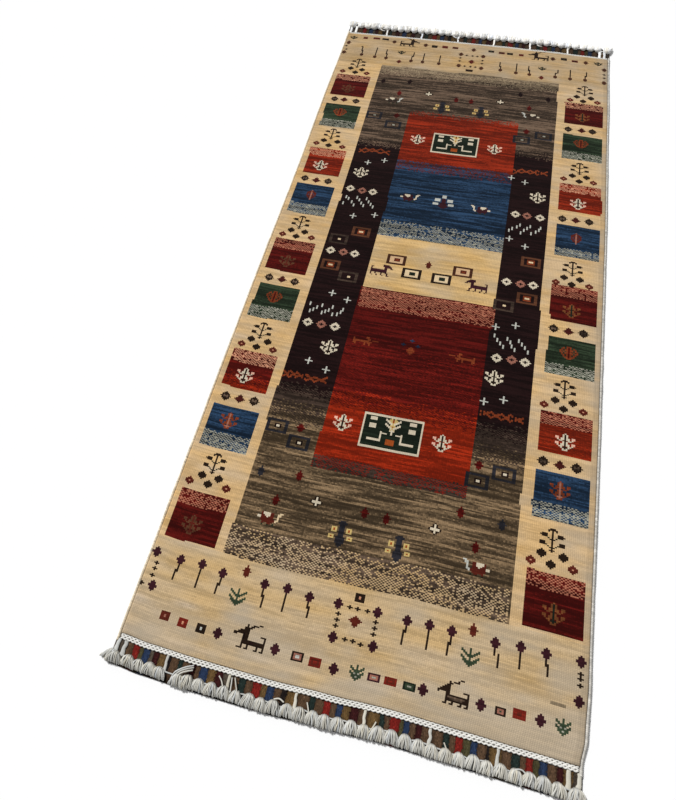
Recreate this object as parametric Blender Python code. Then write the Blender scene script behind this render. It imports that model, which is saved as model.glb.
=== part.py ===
"""A small hand-knotted wool rug with striped flat-woven ends, white twined chains and knotted fringes.

Units are metres. +Z is up, +Y runs along the rug, and the origin is under the middle of the whole rug.
"""

import math

import bmesh
import bpy
from mathutils import Matrix, Vector

# Sizes of the cloth
PILE_WIDTH = 0.800
PILE_LENGTH = 1.800
PILE_HEIGHT = 0.0075
PILE_ROUND = 0.0015
PILE_CORNER = 0.006
END_STRETCH = 0.070
SELVEDGE_RADIUS = 0.0031
CHAIN_DEPTH = 0.0125
CHAIN_HEIGHT = 0.0056
KILIM_HEIGHT = 0.0022
KILIM_ROUND = 0.0004
KILIM_DEPTH = {"near": 0.0375, "far": 0.0475}
GAP = 0.0003
CAP_WELD = 0.00001

# The middle of the pile, seen from the middle of the whole rug
PILE_MIDDLE = Vector((-0.0013, -0.0059))

# How far each edge stands out from its straight line: place along the edge, then distance out
EDGES = {
    "left": ((-0.90, 0.000), (-0.60, 0.000), (-0.20, 0.001), (0.30, -0.001), (0.60, 0.001), (0.90, 0.000)),
    "right": ((-0.90, -0.007), (-0.86, -0.001), (-0.78, 0.002), (-0.30, 0.005), (0.20, 0.006),
              (0.60, 0.003), (0.90, -0.001)),
    "near": ((-0.40, -0.003), (-0.34, 0.001), (-0.25, 0.003), (-0.12, 0.003), (-0.02, 0.000),
             (0.10, -0.004), (0.22, -0.003), (0.33, -0.002), (0.40, -0.001)),
    "far": ((-0.40, -0.001), (-0.28, 0.001), (-0.10, 0.004), (0.10, 0.005), (0.22, 0.004),
            (0.33, 0.001), (0.40, -0.002)),
}

# The fringe: tassels along a netting cord, each with a knotted head and a few locks
TASSEL_PITCH = 0.0218
TASSEL_COUNT = 37
MISSING_TASSEL = {"near": 5, "far": None}
HEAD_RADIUS = 0.0043
HEAD_HALF_WIDTH = 0.0048
CORD_RADIUS = 0.0016
CORD_REACH = 0.97 * TASSEL_PITCH / 2
LOCKS = 3
LOCK_LENGTH = 0.0145
LOCK_RADIUS = 0.0024
LOCK_SPACING = 0.0052
LOCK_FAN = math.radians(11)
LOCK_SIDES = 4
LOCK_TAPER = 0.8
CORD_FROM_EDGE = 0.0165
ROOT_OUT = 0.001
CORNER_SHIFT = 0.005
CORNER_SIZE = 1.2

# How far tassels vary: their place, size and lean
PLACE_VARIES = 0.0012
SIZE_VARIES = 0.12
LEAN_VARIES = math.radians(6)

# The white wrapped bars that cross the flat-woven ends: where each stands across the rug
BAR_WIDTH = 0.0066
BAR_HEIGHT = 0.0017
BAR_LIFT = 0.0002
BARS = {
    "near": (-0.399, -0.386, -0.303, -0.186, -0.065, 0.054, 0.164, 0.274, 0.377, 0.393),
    "far": (-0.399, -0.383, -0.281, -0.168, -0.053, 0.059, 0.170, 0.283, 0.377, 0.391),
}

# Colour and roughness of each material
FINISHES = {
    "wool_pile": ((0.42, 0.27, 0.15), 0.95),
    "wool_selvedge": ((0.72, 0.68, 0.58), 0.90),
    "cotton_chain": ((0.84, 0.80, 0.72), 0.90),
    "wool_kilim": ((0.30, 0.19, 0.12), 0.92),
    "cotton_fringe": ((0.80, 0.76, 0.67), 0.92),
}

END_SIGNS = {"near": -1, "far": 1}
SIDE_SIGNS = {"left": -1, "right": 1}
HALF_WIDTH = PILE_WIDTH / 2
HALF_LENGTH = PILE_LENGTH / 2
CHAIN_OUT = GAP + CHAIN_DEPTH

# How finely outlines follow the cloth
STRIP_STEPS = 20
SIDE_STEPS = 24
END_STEPS = 5
CORNER_STEPS = 3


def clear_scene():
    for obj in list(bpy.data.objects):
        bpy.data.objects.remove(obj, do_unlink=True)


def wobble(number, channel):
    """An even spread of values between -1 and 1 that repeats for the same tassel."""
    turn = math.sin(12.9898 * (number + 1) + 78.233 * (channel + 1)) * 437.585
    return 2 * (turn - math.floor(turn)) - 1


def stand_out(edge, place):
    """The distance out of one edge at a place along it, with smooth steps between the table's rows."""
    rows = EDGES[edge]
    if place <= rows[0][0]:
        return rows[0][1]
    for (start, low), (end, high) in zip(rows, rows[1:]):
        if place <= end:
            share = (place - start) / (end - start)
            return low + (high - low) * share * share * (3 - 2 * share)
    return rows[-1][1]


def uneven(x, y):
    """Moves a point of the straight layout to where the hand-woven cloth has it."""
    to_right = (x / HALF_WIDTH + 1) / 2
    to_far = (y / HALF_LENGTH + 1) / 2
    shift_x = to_right * stand_out("right", y) - (1 - to_right) * stand_out("left", y)
    shift_y = to_far * stand_out("far", x) - (1 - to_far) * stand_out("near", x)
    return x + shift_x + PILE_MIDDLE.x, y + shift_y + PILE_MIDDLE.y


def material(name):
    colour, roughness = FINISHES[name]
    made = bpy.data.materials.get(name) or bpy.data.materials.new(name)
    made.use_nodes = True
    shader = made.node_tree.nodes["Principled BSDF"]
    shader.inputs["Base Color"].default_value = (*colour, 1)
    shader.inputs["Roughness"].default_value = roughness
    shader.inputs["Metallic"].default_value = 0
    made.diffuse_color = (*colour, 1)
    return made


def add_object(name, data, finish, collection):
    obj = bpy.data.objects.new(name, data)
    data.materials.append(material(finish))
    collection.objects.link(obj)
    return obj


def flat_piece(name, outline, height, edge_round, finish, collection):
    """A flat sheet that fills an outline, from the floor up, with its edges a little rounded."""
    curve = bpy.data.curves.new(name, "CURVE")
    curve.dimensions = "2D"
    curve.fill_mode = "BOTH"
    curve.extrude = height / 2 - edge_round
    curve.bevel_depth = edge_round
    curve.bevel_resolution = 0
    curve.offset = -edge_round
    spline = curve.splines.new("POLY")
    spline.points.add(len(outline) - 1)
    for point, (x, y) in zip(spline.points, outline):
        point.co = (x, y, 0, 1)
    spline.use_cyclic_u = True
    obj = add_object(name, curve, finish, collection)
    obj.location.z = height / 2
    return obj


def spread(start, end, steps):
    return [start + (end - start) * step / steps for step in range(steps + 1)]


def strip_outline(end, reach, start, depth):
    """Outline of a strip across one end of the rug, anticlockwise seen from above."""
    across = spread(-reach, reach, STRIP_STEPS)
    inner = [uneven(x, END_SIGNS[end] * start) for x in across]
    outer = [uneven(x, END_SIGNS[end] * (start + depth)) for x in across]
    return inner + outer[::-1] if end == "far" else outer + inner[::-1]


def places_along():
    """Places where the long edges may bend, closer together towards the ends."""
    inner = HALF_LENGTH - PILE_CORNER
    near_end = HALF_LENGTH - END_STRETCH
    ends = spread(near_end, inner, END_STEPS)
    return [-place for place in reversed(ends)] + spread(-near_end, near_end, SIDE_STEPS)[1:-1] + ends


def pile_outline():
    """A rectangle with small round corners, laid out straight and then made uneven."""
    points = []
    inner_x = HALF_WIDTH - PILE_CORNER
    inner_y = HALF_LENGTH - PILE_CORNER
    corners = ((1, -1, -90), (1, 1, 0), (-1, 1, 90), (-1, -1, 180))
    for sign_x, sign_y, start in corners:
        for step in range(CORNER_STEPS + 1):
            angle = math.radians(start + 90 * step / CORNER_STEPS)
            x = sign_x * inner_x + PILE_CORNER * math.cos(angle)
            y = sign_y * inner_y + PILE_CORNER * math.sin(angle)
            points.append((x, y))
        if sign_x == sign_y:
            places_across = spread(sign_x * inner_x, -sign_x * inner_x, STRIP_STEPS)
            run = [(x, sign_y * HALF_LENGTH) for x in places_across]
        else:
            run = [(sign_x * HALF_WIDTH, sign_x * y) for y in places_along()]
        points += run[1:-1]
    return [uneven(x, y) for x, y in points]


def make_pile(collection):
    flat_piece("carpet_pile", pile_outline(), PILE_HEIGHT, PILE_ROUND, "wool_pile", collection)


def make_selvedge(side, collection):
    """The overcast edge cord beside the pile and the ends of the chains."""
    curve = bpy.data.curves.new("selvedge_" + side, "CURVE")
    curve.dimensions = "3D"
    curve.bevel_depth = SELVEDGE_RADIUS
    curve.bevel_resolution = 2
    curve.use_fill_caps = True
    reach = HALF_LENGTH + CHAIN_OUT
    places = [-reach, -HALF_LENGTH, *places_along(), HALF_LENGTH, reach]
    spline = curve.splines.new("POLY")
    spline.points.add(len(places) - 1)
    for point, y in zip(spline.points, places):
        x_cloth, y_cloth = uneven(SIDE_SIGNS[side] * HALF_WIDTH, y)
        x_cord = x_cloth + SIDE_SIGNS[side] * (GAP + SELVEDGE_RADIUS)
        point.co = (x_cord, y_cloth, SELVEDGE_RADIUS, 1)
    add_object("selvedge_" + side, curve, "wool_selvedge", collection)


def make_chain(end, collection):
    """The white twined strip that holds the last row of knots."""
    outline = strip_outline(end, HALF_WIDTH, HALF_LENGTH + GAP, CHAIN_DEPTH)
    flat_piece("chain_" + end, outline, CHAIN_HEIGHT, PILE_ROUND, "cotton_chain", collection)


def make_kilim(end, collection):
    """The flat-woven striped strip beyond the chain."""
    reach = HALF_WIDTH + 2 * SELVEDGE_RADIUS
    outline = strip_outline(end, reach, HALF_LENGTH + CHAIN_OUT + GAP, KILIM_DEPTH[end])
    flat_piece("kilim_" + end, outline, KILIM_HEIGHT, KILIM_ROUND, "wool_kilim", collection)


def mesh_of(obj, name):
    """The evaluated shape of a curve, as a closed mesh in world space."""
    graph = bpy.context.evaluated_depsgraph_get()
    mesh = bpy.data.meshes.new_from_object(obj.evaluated_get(graph))
    mesh.name = name
    mesh.transform(obj.matrix_world)
    bpy.data.objects.remove(obj, do_unlink=True)
    return mesh


def tassels(end):
    """Each tassel of one end: its place across the rug, its size, its lean and how far out it is."""
    first = -TASSEL_PITCH * (TASSEL_COUNT - 1) / 2
    channel = 10 if end == "near" else 20
    for number in range(TASSEL_COUNT):
        if number == MISSING_TASSEL[end]:
            continue
        x = first + TASSEL_PITCH * number + PLACE_VARIES * wobble(number, channel)
        size = 1 + SIZE_VARIES * wobble(number, channel + 1)
        if number in (0, TASSEL_COUNT - 1):
            x += CORNER_SHIFT if number else -CORNER_SHIFT
            size = CORNER_SIZE
        lean = LEAN_VARIES * wobble(number, channel + 2)
        outward = PLACE_VARIES * wobble(number, channel + 3)
        yield x, size, lean, outward


def cord_line(end):
    """The y of the netting cord in the straight layout."""
    return END_SIGNS[end] * (HALF_LENGTH + CHAIN_OUT + GAP + KILIM_DEPTH[end] - CORD_FROM_EDGE)


def make_fringe_cord(end):
    """The netting cord, thicker at each tassel's knotted head."""
    curve = bpy.data.curves.new("cord_" + end, "CURVE")
    curve.dimensions = "3D"
    curve.bevel_depth = 1
    curve.bevel_resolution = 1
    curve.use_fill_caps = True
    rows = []
    for x, size, _, outward in tassels(end):
        rows.append((x - CORD_REACH, CORD_RADIUS, 0))
        rows.append((x - HEAD_HALF_WIDTH * size, HEAD_RADIUS * size, outward))
        rows.append((x + HEAD_HALF_WIDTH * size, HEAD_RADIUS * size, outward))
    rows.append((x + CORD_REACH, CORD_RADIUS, 0))
    spline = curve.splines.new("POLY")
    spline.points.add(len(rows) - 1)
    for point, (across, radius, outward) in zip(spline.points, rows):
        x_cloth, y_cloth = uneven(across, cord_line(end) + END_SIGNS[end] * outward)
        point.co = (x_cloth, y_cloth, KILIM_HEIGHT + GAP + radius, 1)
        point.radius = radius
    helper = bpy.data.objects.new("cord_" + end, curve)
    bpy.context.scene.collection.objects.link(helper)
    bpy.context.view_layer.update()
    return mesh_of(helper, "cord_" + end)


def lock_matrix(root, direction):
    """Stands a cone's axis along a lock, with its wide end at the root."""
    turn = direction.to_track_quat("Z", "Y").to_matrix().to_4x4()
    middle = root + direction * (LOCK_LENGTH / 2)
    return Matrix.Translation(middle) @ turn @ Matrix.Rotation(math.radians(45), 4, "Z")


def add_locks(shape, end):
    """The free ends of each tassel, level on the cloth and a little apart."""
    sign = END_SIGNS[end]
    height = KILIM_HEIGHT + GAP + LOCK_RADIUS
    for x, size, lean, outward in tassels(end):
        for lock in range(LOCKS):
            side = lock - (LOCKS - 1) / 2
            angle = lean + side * LOCK_FAN
            y_start = cord_line(end) + sign * (outward + ROOT_OUT)
            x_root, y_root = uneven(x + side * LOCK_SPACING * size, y_start)
            direction = Vector((math.sin(angle), sign * math.cos(angle), 0))
            matrix = lock_matrix(Vector((x_root, y_root, height)), direction)
            bmesh.ops.create_cone(shape, cap_ends=True, segments=LOCK_SIDES, radius1=LOCK_RADIUS,
                                  radius2=LOCK_RADIUS * LOCK_TAPER, depth=LOCK_LENGTH, matrix=matrix)


def add_bars(shape, end):
    """The white wrapped bars, from the chain to the netting cord."""
    sign = END_SIGNS[end]
    start = HALF_LENGTH + CHAIN_OUT + 3 * GAP
    stop = abs(cord_line(end)) - ROOT_OUT / 2
    for across in BARS[end]:
        x, y = uneven(across, sign * (start + stop) / 2)
        z = KILIM_HEIGHT + GAP + BAR_LIFT + BAR_HEIGHT / 2
        size = Matrix.Diagonal((BAR_WIDTH, stop - start, BAR_HEIGHT, 1))
        bmesh.ops.create_cube(shape, size=1, matrix=Matrix.Translation((x, y, z)) @ size)


def make_fringe(end, collection, helpers):
    """Netting cord, bars and locks of one end, joined into one solid."""
    fringe = add_object("fringe_" + end, make_fringe_cord(end), "cotton_fringe", collection)
    shape = bmesh.new()
    shape.from_mesh(fringe.data)
    bmesh.ops.remove_doubles(shape, verts=shape.verts, dist=CAP_WELD)
    bmesh.ops.recalc_face_normals(shape, faces=shape.faces)
    shape.to_mesh(fringe.data)
    shape.free()

    added = bpy.data.meshes.new("locks_" + end)
    shape = bmesh.new()
    add_locks(shape, end)
    add_bars(shape, end)
    shape.to_mesh(added)
    shape.free()
    helper = bpy.data.objects.new("locks_" + end, added)
    helper.hide_render = True
    helper.display_type = "WIRE"
    helpers.objects.link(helper)

    union = fringe.modifiers.new("locks", "BOOLEAN")
    union.operation = "UNION"
    union.object = helper


def main():
    clear_scene()
    collection = bpy.data.collections.new("carpet")
    helpers = bpy.data.collections.new("joined_shapes")
    for made in (collection, helpers):
        bpy.context.scene.collection.children.link(made)
    make_pile(collection)
    for side in SIDE_SIGNS:
        make_selvedge(side, collection)
    for end in END_SIGNS:
        make_chain(end, collection)
        make_kilim(end, collection)
        make_fringe(end, collection, helpers)


main()
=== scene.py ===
"""Looks of a small hand-knotted wool rug: its knots, woven ends, twined chains, edge cords and fringes.

Units are metres. The pattern is given in millimetres from the left edge and the far edge of the pile.
"""

import math

import bpy
import numpy as np
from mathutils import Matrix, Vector


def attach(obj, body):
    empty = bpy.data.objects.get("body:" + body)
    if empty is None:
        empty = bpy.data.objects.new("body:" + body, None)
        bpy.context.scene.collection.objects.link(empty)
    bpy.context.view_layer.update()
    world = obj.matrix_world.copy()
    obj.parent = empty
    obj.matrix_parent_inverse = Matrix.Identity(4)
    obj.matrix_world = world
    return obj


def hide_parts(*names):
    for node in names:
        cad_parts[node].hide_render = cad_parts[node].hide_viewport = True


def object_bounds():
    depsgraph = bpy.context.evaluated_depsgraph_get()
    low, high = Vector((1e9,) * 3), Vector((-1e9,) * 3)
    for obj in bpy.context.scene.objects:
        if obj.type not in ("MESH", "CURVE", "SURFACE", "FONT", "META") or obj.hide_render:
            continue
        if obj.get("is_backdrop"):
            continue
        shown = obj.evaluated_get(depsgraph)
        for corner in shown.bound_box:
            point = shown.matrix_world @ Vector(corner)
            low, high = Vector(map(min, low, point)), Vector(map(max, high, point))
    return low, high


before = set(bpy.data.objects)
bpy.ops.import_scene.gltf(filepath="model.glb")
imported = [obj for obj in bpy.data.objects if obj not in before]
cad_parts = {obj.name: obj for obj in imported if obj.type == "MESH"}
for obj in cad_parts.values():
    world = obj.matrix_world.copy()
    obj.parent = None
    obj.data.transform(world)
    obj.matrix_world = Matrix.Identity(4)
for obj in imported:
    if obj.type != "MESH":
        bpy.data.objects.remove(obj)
CAD_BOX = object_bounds()

# Layout of the cloth. The solids have the same, but for the last two near bars and the corner tassels' size.
PILE_WIDTH = 0.800
PILE_LENGTH = 1.800
PILE_HEIGHT = 0.0075
SELVEDGE_RADIUS = 0.0031
CHAIN_DEPTH = 0.0125
KILIM_HEIGHT = 0.0022
KILIM_DEPTH = {"near": 0.0375, "far": 0.0475}
GAP = 0.0003
PILE_MIDDLE = Vector((-0.0013, -0.0059))
EDGES = {
    "left": ((-0.90, 0.000), (-0.60, 0.000), (-0.20, 0.001), (0.30, -0.001), (0.60, 0.001), (0.90, 0.000)),
    "right": ((-0.90, -0.007), (-0.86, -0.001), (-0.78, 0.002), (-0.30, 0.005), (0.20, 0.006),
              (0.60, 0.003), (0.90, -0.001)),
    "near": ((-0.40, -0.003), (-0.34, 0.001), (-0.25, 0.003), (-0.12, 0.003), (-0.02, 0.000),
             (0.10, -0.004), (0.22, -0.003), (0.33, -0.002), (0.40, -0.001)),
    "far": ((-0.40, -0.001), (-0.28, 0.001), (-0.10, 0.004), (0.10, 0.005), (0.22, 0.004),
            (0.33, 0.001), (0.40, -0.002)),
}
TASSEL_COUNT = 37
MISSING_TASSEL = {"near": 5, "far": None}
CORD_FROM_EDGE = 0.0165
CORNER_SHIFT = 0.005
CORNER_SIZE = 1.12
PLACE_VARIES = 0.0012
SIZE_VARIES = 0.12
LEAN_VARIES = math.radians(6)
BARS = {
    "near": (-0.399, -0.386, -0.303, -0.186, -0.065, 0.054, 0.164, 0.274, 0.3845, 0.4005),
    "far": (-0.399, -0.383, -0.281, -0.168, -0.053, 0.059, 0.170, 0.283, 0.377, 0.391),
}
END_SIGNS = {"near": -1, "far": 1}
SIDE_SIGNS = {"left": -1, "right": 1}
HALF_WIDTH = PILE_WIDTH / 2
HALF_LENGTH = PILE_LENGTH / 2
CHAIN_OUT = GAP + CHAIN_DEPTH
CHAIN_VISIBLE = 0.0098

# Camera
CAMERA_PLACE = (0.0061, -0.7755, 0.9517)
CAMERA_TURN = (math.radians(24.025), math.radians(2.273), math.radians(13.694))
CAMERA_LENS = 21.775

# Knots
COLUMNS = 224
ROWS = 720
KNOT_WIDTH = PILE_WIDTH * 1000 / COLUMNS
KNOT_DEPTH = PILE_LENGTH * 1000 / ROWS

# Yarn colours: sRGB, then how much the tone varies along and between knots
YARNS = {
    "c": ((193, 166, 126), 0.19),
    "f": ((183, 154, 113), 0.19),
    "s": ((207, 173, 125), 0.17),
    "e": ((205, 171, 118), 0.19),
    "h": ((214, 190, 152), 0.12),
    "r": ((127, 36, 15), 0.60),
    "O": ((141, 37, 13), 0.55),
    "a": ((98, 20, 13), 0.60),
    "R": ((77, 14, 10), 0.62),
    "b": ((35, 56, 80), 0.85),
    "k": ((28, 13, 13), 0.50),
    "g": ((118, 97, 72), 1.05),
    "G": ((92, 75, 61), 0.95),
    "P": ((136, 119, 95), 0.40),
    "j": ((62, 49, 41), 0.65),
    "n": ((42, 54, 38), 0.75),
    "N": ((26, 34, 25), 0.40),
    "w": ((205, 192, 168), 0.12),
    "x": ((184, 184, 174), 0.15),
    "p": ((196, 138, 108), 0.20),
    "B": ((163, 101, 78), 0.24),
    "q": ((148, 98, 82), 0.20),
    "z": ((206, 170, 130), 0.12),
    "l": ((146, 144, 130), 0.26),
    "o": ((150, 72, 30), 0.25),
    "y": ((196, 170, 108), 0.15),
    "v": ((54, 24, 30), 0.30),
    "V": ((70, 40, 26), 0.30),
    "m": ((86, 32, 22), 0.25),
    "u": ((88, 54, 36), 0.30),
    "A": ((114, 66, 36), 0.35),
    "i": ((120, 54, 28), 0.35),
    "t": ((52, 64, 46), 0.25),
    "D": ((38, 37, 42), 0.50),
    "M": ((110, 32, 22), 0.35),
    "H": ((222, 170, 148), 0.15),
    "Z": ((66, 24, 20), 0.30),
    "d": ((36, 24, 16), 0.25),
}

# Tones of the yarns: how much each kind of streak counts, and its size in knots
LONG_STREAKS = 0.62
LONG_STREAK = 20
STREAK_CARRY = 0.6
SHORT_STREAKS = 0.42
SHORT_STREAK = 7
SINGLE_KNOTS = 0.30
DYE_LOTS = 0.30
DYE_LOT = (9, 90)
TONE_LIMIT = 1.1

# Pale yarns turn greyer through wearing, in blotches; painted sheen turns them greyer towards the near edge,
# most of all towards its right end, and they grow greyer towards the right edge.
# Each row of blotches gives their strength, then their knots down and across.
PALE_YARNS = ["c", "f", "s", "e"]
WORN_AND_SHEEN_COLOUR = (178, 166, 148)
WEAR_EVEN = 0.04
WEAR_BLOTCHES = ((0.15, 14, 14), (0.09, 4, 7))
SHEEN_START = 0.93
SHEEN_NEAR = 0.25
SHEEN_NEAR_RIGHT = 0.30
GREYING_RIGHT = 0.10
GREYING_EDGE = 0.40
GREYING_EDGE_POWER = 40
MOST_WEAR_AND_SHEEN = 0.6

# Golden patches of the pale yarns
GOLDEN_BLOTCHES = ((0.07, 12, 18), (0.07, 5, 14))
GOLDEN_GREEN = 0.35
GOLDEN_BLUE = 1.3

# The last columns of knots stand in the right edge cord's shade
SHADED_COLUMNS = 3
COLUMN_SHADE = 0.88

# How far the weave strays from the chart
DRIFT_DOWN = ((0.50, 50, 30),)
DRIFT_ACROSS = ((0.45, 40, 60),)

# Two yarns that take turns: a knot takes the light yarn where its level is under the light yarn's share
MIX_LEVEL = 0.25
MIX_TURN = 0.5
MIX_STREAKS = 0.08
MIX_STREAK = 5
MIX_SINGLE = 0.19

# Seeds of the random draws. The two ends and sides add or take one.
SEEDS = {"pattern": 3, "lumps": 5, "tones": 11, "kilim": 21, "chain": 31, "edge": 41, "fringe": 51}


def srgb(red, green, blue):
    """Linear colour from 0 to 255 screen values."""
    values = np.array((red, green, blue), float) / 255
    return np.where(values <= 0.04045, values / 12.92, ((values + 0.055) / 1.055) ** 2.4)


def wobble(number, channel):
    """An even spread of values between -1 and 1 that repeats for the same tassel."""
    turn = math.sin(12.9898 * (number + 1) + 78.233 * (channel + 1)) * 437.585
    return 2 * (turn - math.floor(turn)) - 1


def stand_out(edge, places):
    """The distance out of one edge at places along it, with smooth steps between the table's rows."""
    rows = np.array(EDGES[edge])
    low = np.clip(np.searchsorted(rows[:, 0], places) - 1, 0, len(rows) - 2)
    share = np.clip((places - rows[low, 0]) / (rows[low + 1, 0] - rows[low, 0]), 0, 1)
    share = share * share * (3 - 2 * share)
    return rows[low, 1] + (rows[low + 1, 1] - rows[low, 1]) * share


def shift_at(x, y):
    """How far the uneven weave moves a place of the straight layout."""
    to_right = (x / HALF_WIDTH + 1) / 2
    to_far = (y / HALF_LENGTH + 1) / 2
    shift_x = to_right * stand_out("right", y) - (1 - to_right) * stand_out("left", y)
    shift_y = to_far * stand_out("far", x) - (1 - to_far) * stand_out("near", x)
    return shift_x, shift_y


def uneven(x, y):
    """Moves points of the straight layout to where the hand-woven cloth has them."""
    x, y = np.asarray(x, float), np.asarray(y, float)
    shift_x, shift_y = shift_at(x, y)
    return x + shift_x + PILE_MIDDLE.x, y + shift_y + PILE_MIDDLE.y


def noise_along(rng, rows, columns, length):
    """Smooth noise of unit spread along each row, with a feature every few knots."""
    raw = rng.standard_normal((rows, columns // length + 3))
    place = (np.arange(columns) + rng.uniform(0, length, (rows, 1))) / length
    low = place.astype(int)
    share = place - low
    share = share * share * (3 - 2 * share)
    return np.take_along_axis(raw, low, 1) * (1 - share) + np.take_along_axis(raw, low + 1, 1) * share


def waves(rng, steps, length):
    """Smooth noise along one line."""
    return noise_along(rng, 1, steps, length)[0]


# Pattern of the pile

# Fields of plain yarn, the later over the earlier: yarn, then left, right, top and bottom
FIELDS = (
    ("f", 0, 800, 0, 142),
    ("s", 0, 800, 142, 1624),
    ("c", 0, 800, 1624, 1800),
    ("g", 135, 663, 142, 1624),
    ("G", 135, 663, 142, 500),
    ("k", 137, 256, 496, 1280),
    ("k", 561, 664, 466, 1280),
    ("r", 256, 566, 340, 538),
    ("b", 256, 566, 538, 805),
    ("e", 256, 566, 805, 968),
    ("R", 252, 562, 968, 1420),
    ("O", 250, 560, 1266, 1400),
    ("j", 133, 252, 1262, 1330),
    ("j", 562, 663, 1270, 1330),
)

# Fields where two yarns take turns: light yarn, dark yarn, then left, right, top and bottom,
# and the light yarn's share at the top and at the bottom
MIXES = (
    ("P", "G", 135, 663, 142, 187, 0.95, 0.20),
    ("G", "k", 137, 256, 470, 500, 0.90, 0.10),
    ("G", "k", 566, 664, 440, 470, 0.90, 0.10),
    ("r", "G", 256, 566, 332, 352, 0.15, 0.85),
    ("j", "k", 137, 252, 1246, 1280, 0.05, 0.95),
    ("j", "k", 562, 664, 1250, 1290, 0.05, 0.95),
    ("g", "j", 133, 252, 1290, 1345, 0.10, 0.85),
    ("g", "j", 562, 663, 1300, 1345, 0.10, 0.85),
    ("m", "b", 256, 566, 536, 572, 0.64, 0.25),
    ("l", "b", 256, 566, 755, 806, 0.30, 0.52),
    ("B", "R", 256, 566, 970, 1026, 0.62, 0.38),
    ("a", "R", 252, 562, 1120, 1262, 0.10, 0.90),
    ("O", "a", 252, 562, 1240, 1290, 0.10, 1.00),
    ("M", "j", 250, 560, 1396, 1422, 0.60, 0.20),
    ("f", "G", 133, 660, 1568, 1626, 0.26, 0.44),
)

# Blocks of the side borders: side, then where the far part starts, where the yarns change and where it ends,
# then the light and dark yarns of the mixed part, the plain yarn, and whether the mixed part is the far one
BLOCK_SIDES = {"left": (12, 113), "right": (687, 791)}
BLOCKS = (
    ("left", 206, 232, 303, "p", "R", "R", True),
    ("left", 343, 410, 439, "l", "n", "n", False),
    ("left", 531, 560, 630, "p", "r", "r", True),
    ("left", 671, 741, 774, "l", "b", "b", False),
    ("left", 864, 896, 965, "B", "R", "R", True),
    ("left", 1010, 1073, 1105, "l", "n", "n", False),
    ("left", 1195, 1227, 1289, "p", "R", "a", True),
    ("left", 1335, 1396, 1431, "l", "b", "b", False),
    ("left", 1524, 1555, 1622, "B", "R", "R", True),
    ("right", 217, 242, 307, "p", "R", "R", True),
    ("right", 350, 417, 447, "l", "n", "n", False),
    ("right", 540, 570, 636, "p", "r", "r", True),
    ("right", 683, 757, 783, "l", "b", "b", False),
    ("right", 871, 903, 970, "B", "R", "R", True),
    ("right", 1016, 1083, 1110, "l", "n", "n", False),
    ("right", 1200, 1231, 1289, "B", "R", "r", True),
    ("right", 1329, 1393, 1426, "l", "b", "b", False),
    ("right", 1521, 1551, 1620, "B", "R", "R", True),
)

# The light yarn's share at the far and near side of a block's mixed part, by whether that is its far part
BLOCK_SHARES = {True: (0.40, 0.50), False: (0.45, 0.60)}

# Blocks whose plain yarn changes towards their near edge, given as the fields of two yarns are
BLOCK_MIXES = (
    ("O", "a", 12, 113, 1250, 1289, 0.00, 1.00),
    ("O", "r", 687, 791, 1255, 1289, 0.00, 0.70),
    ("O", "r", 12, 113, 580, 610, 0.50, 0.00),
)

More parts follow.
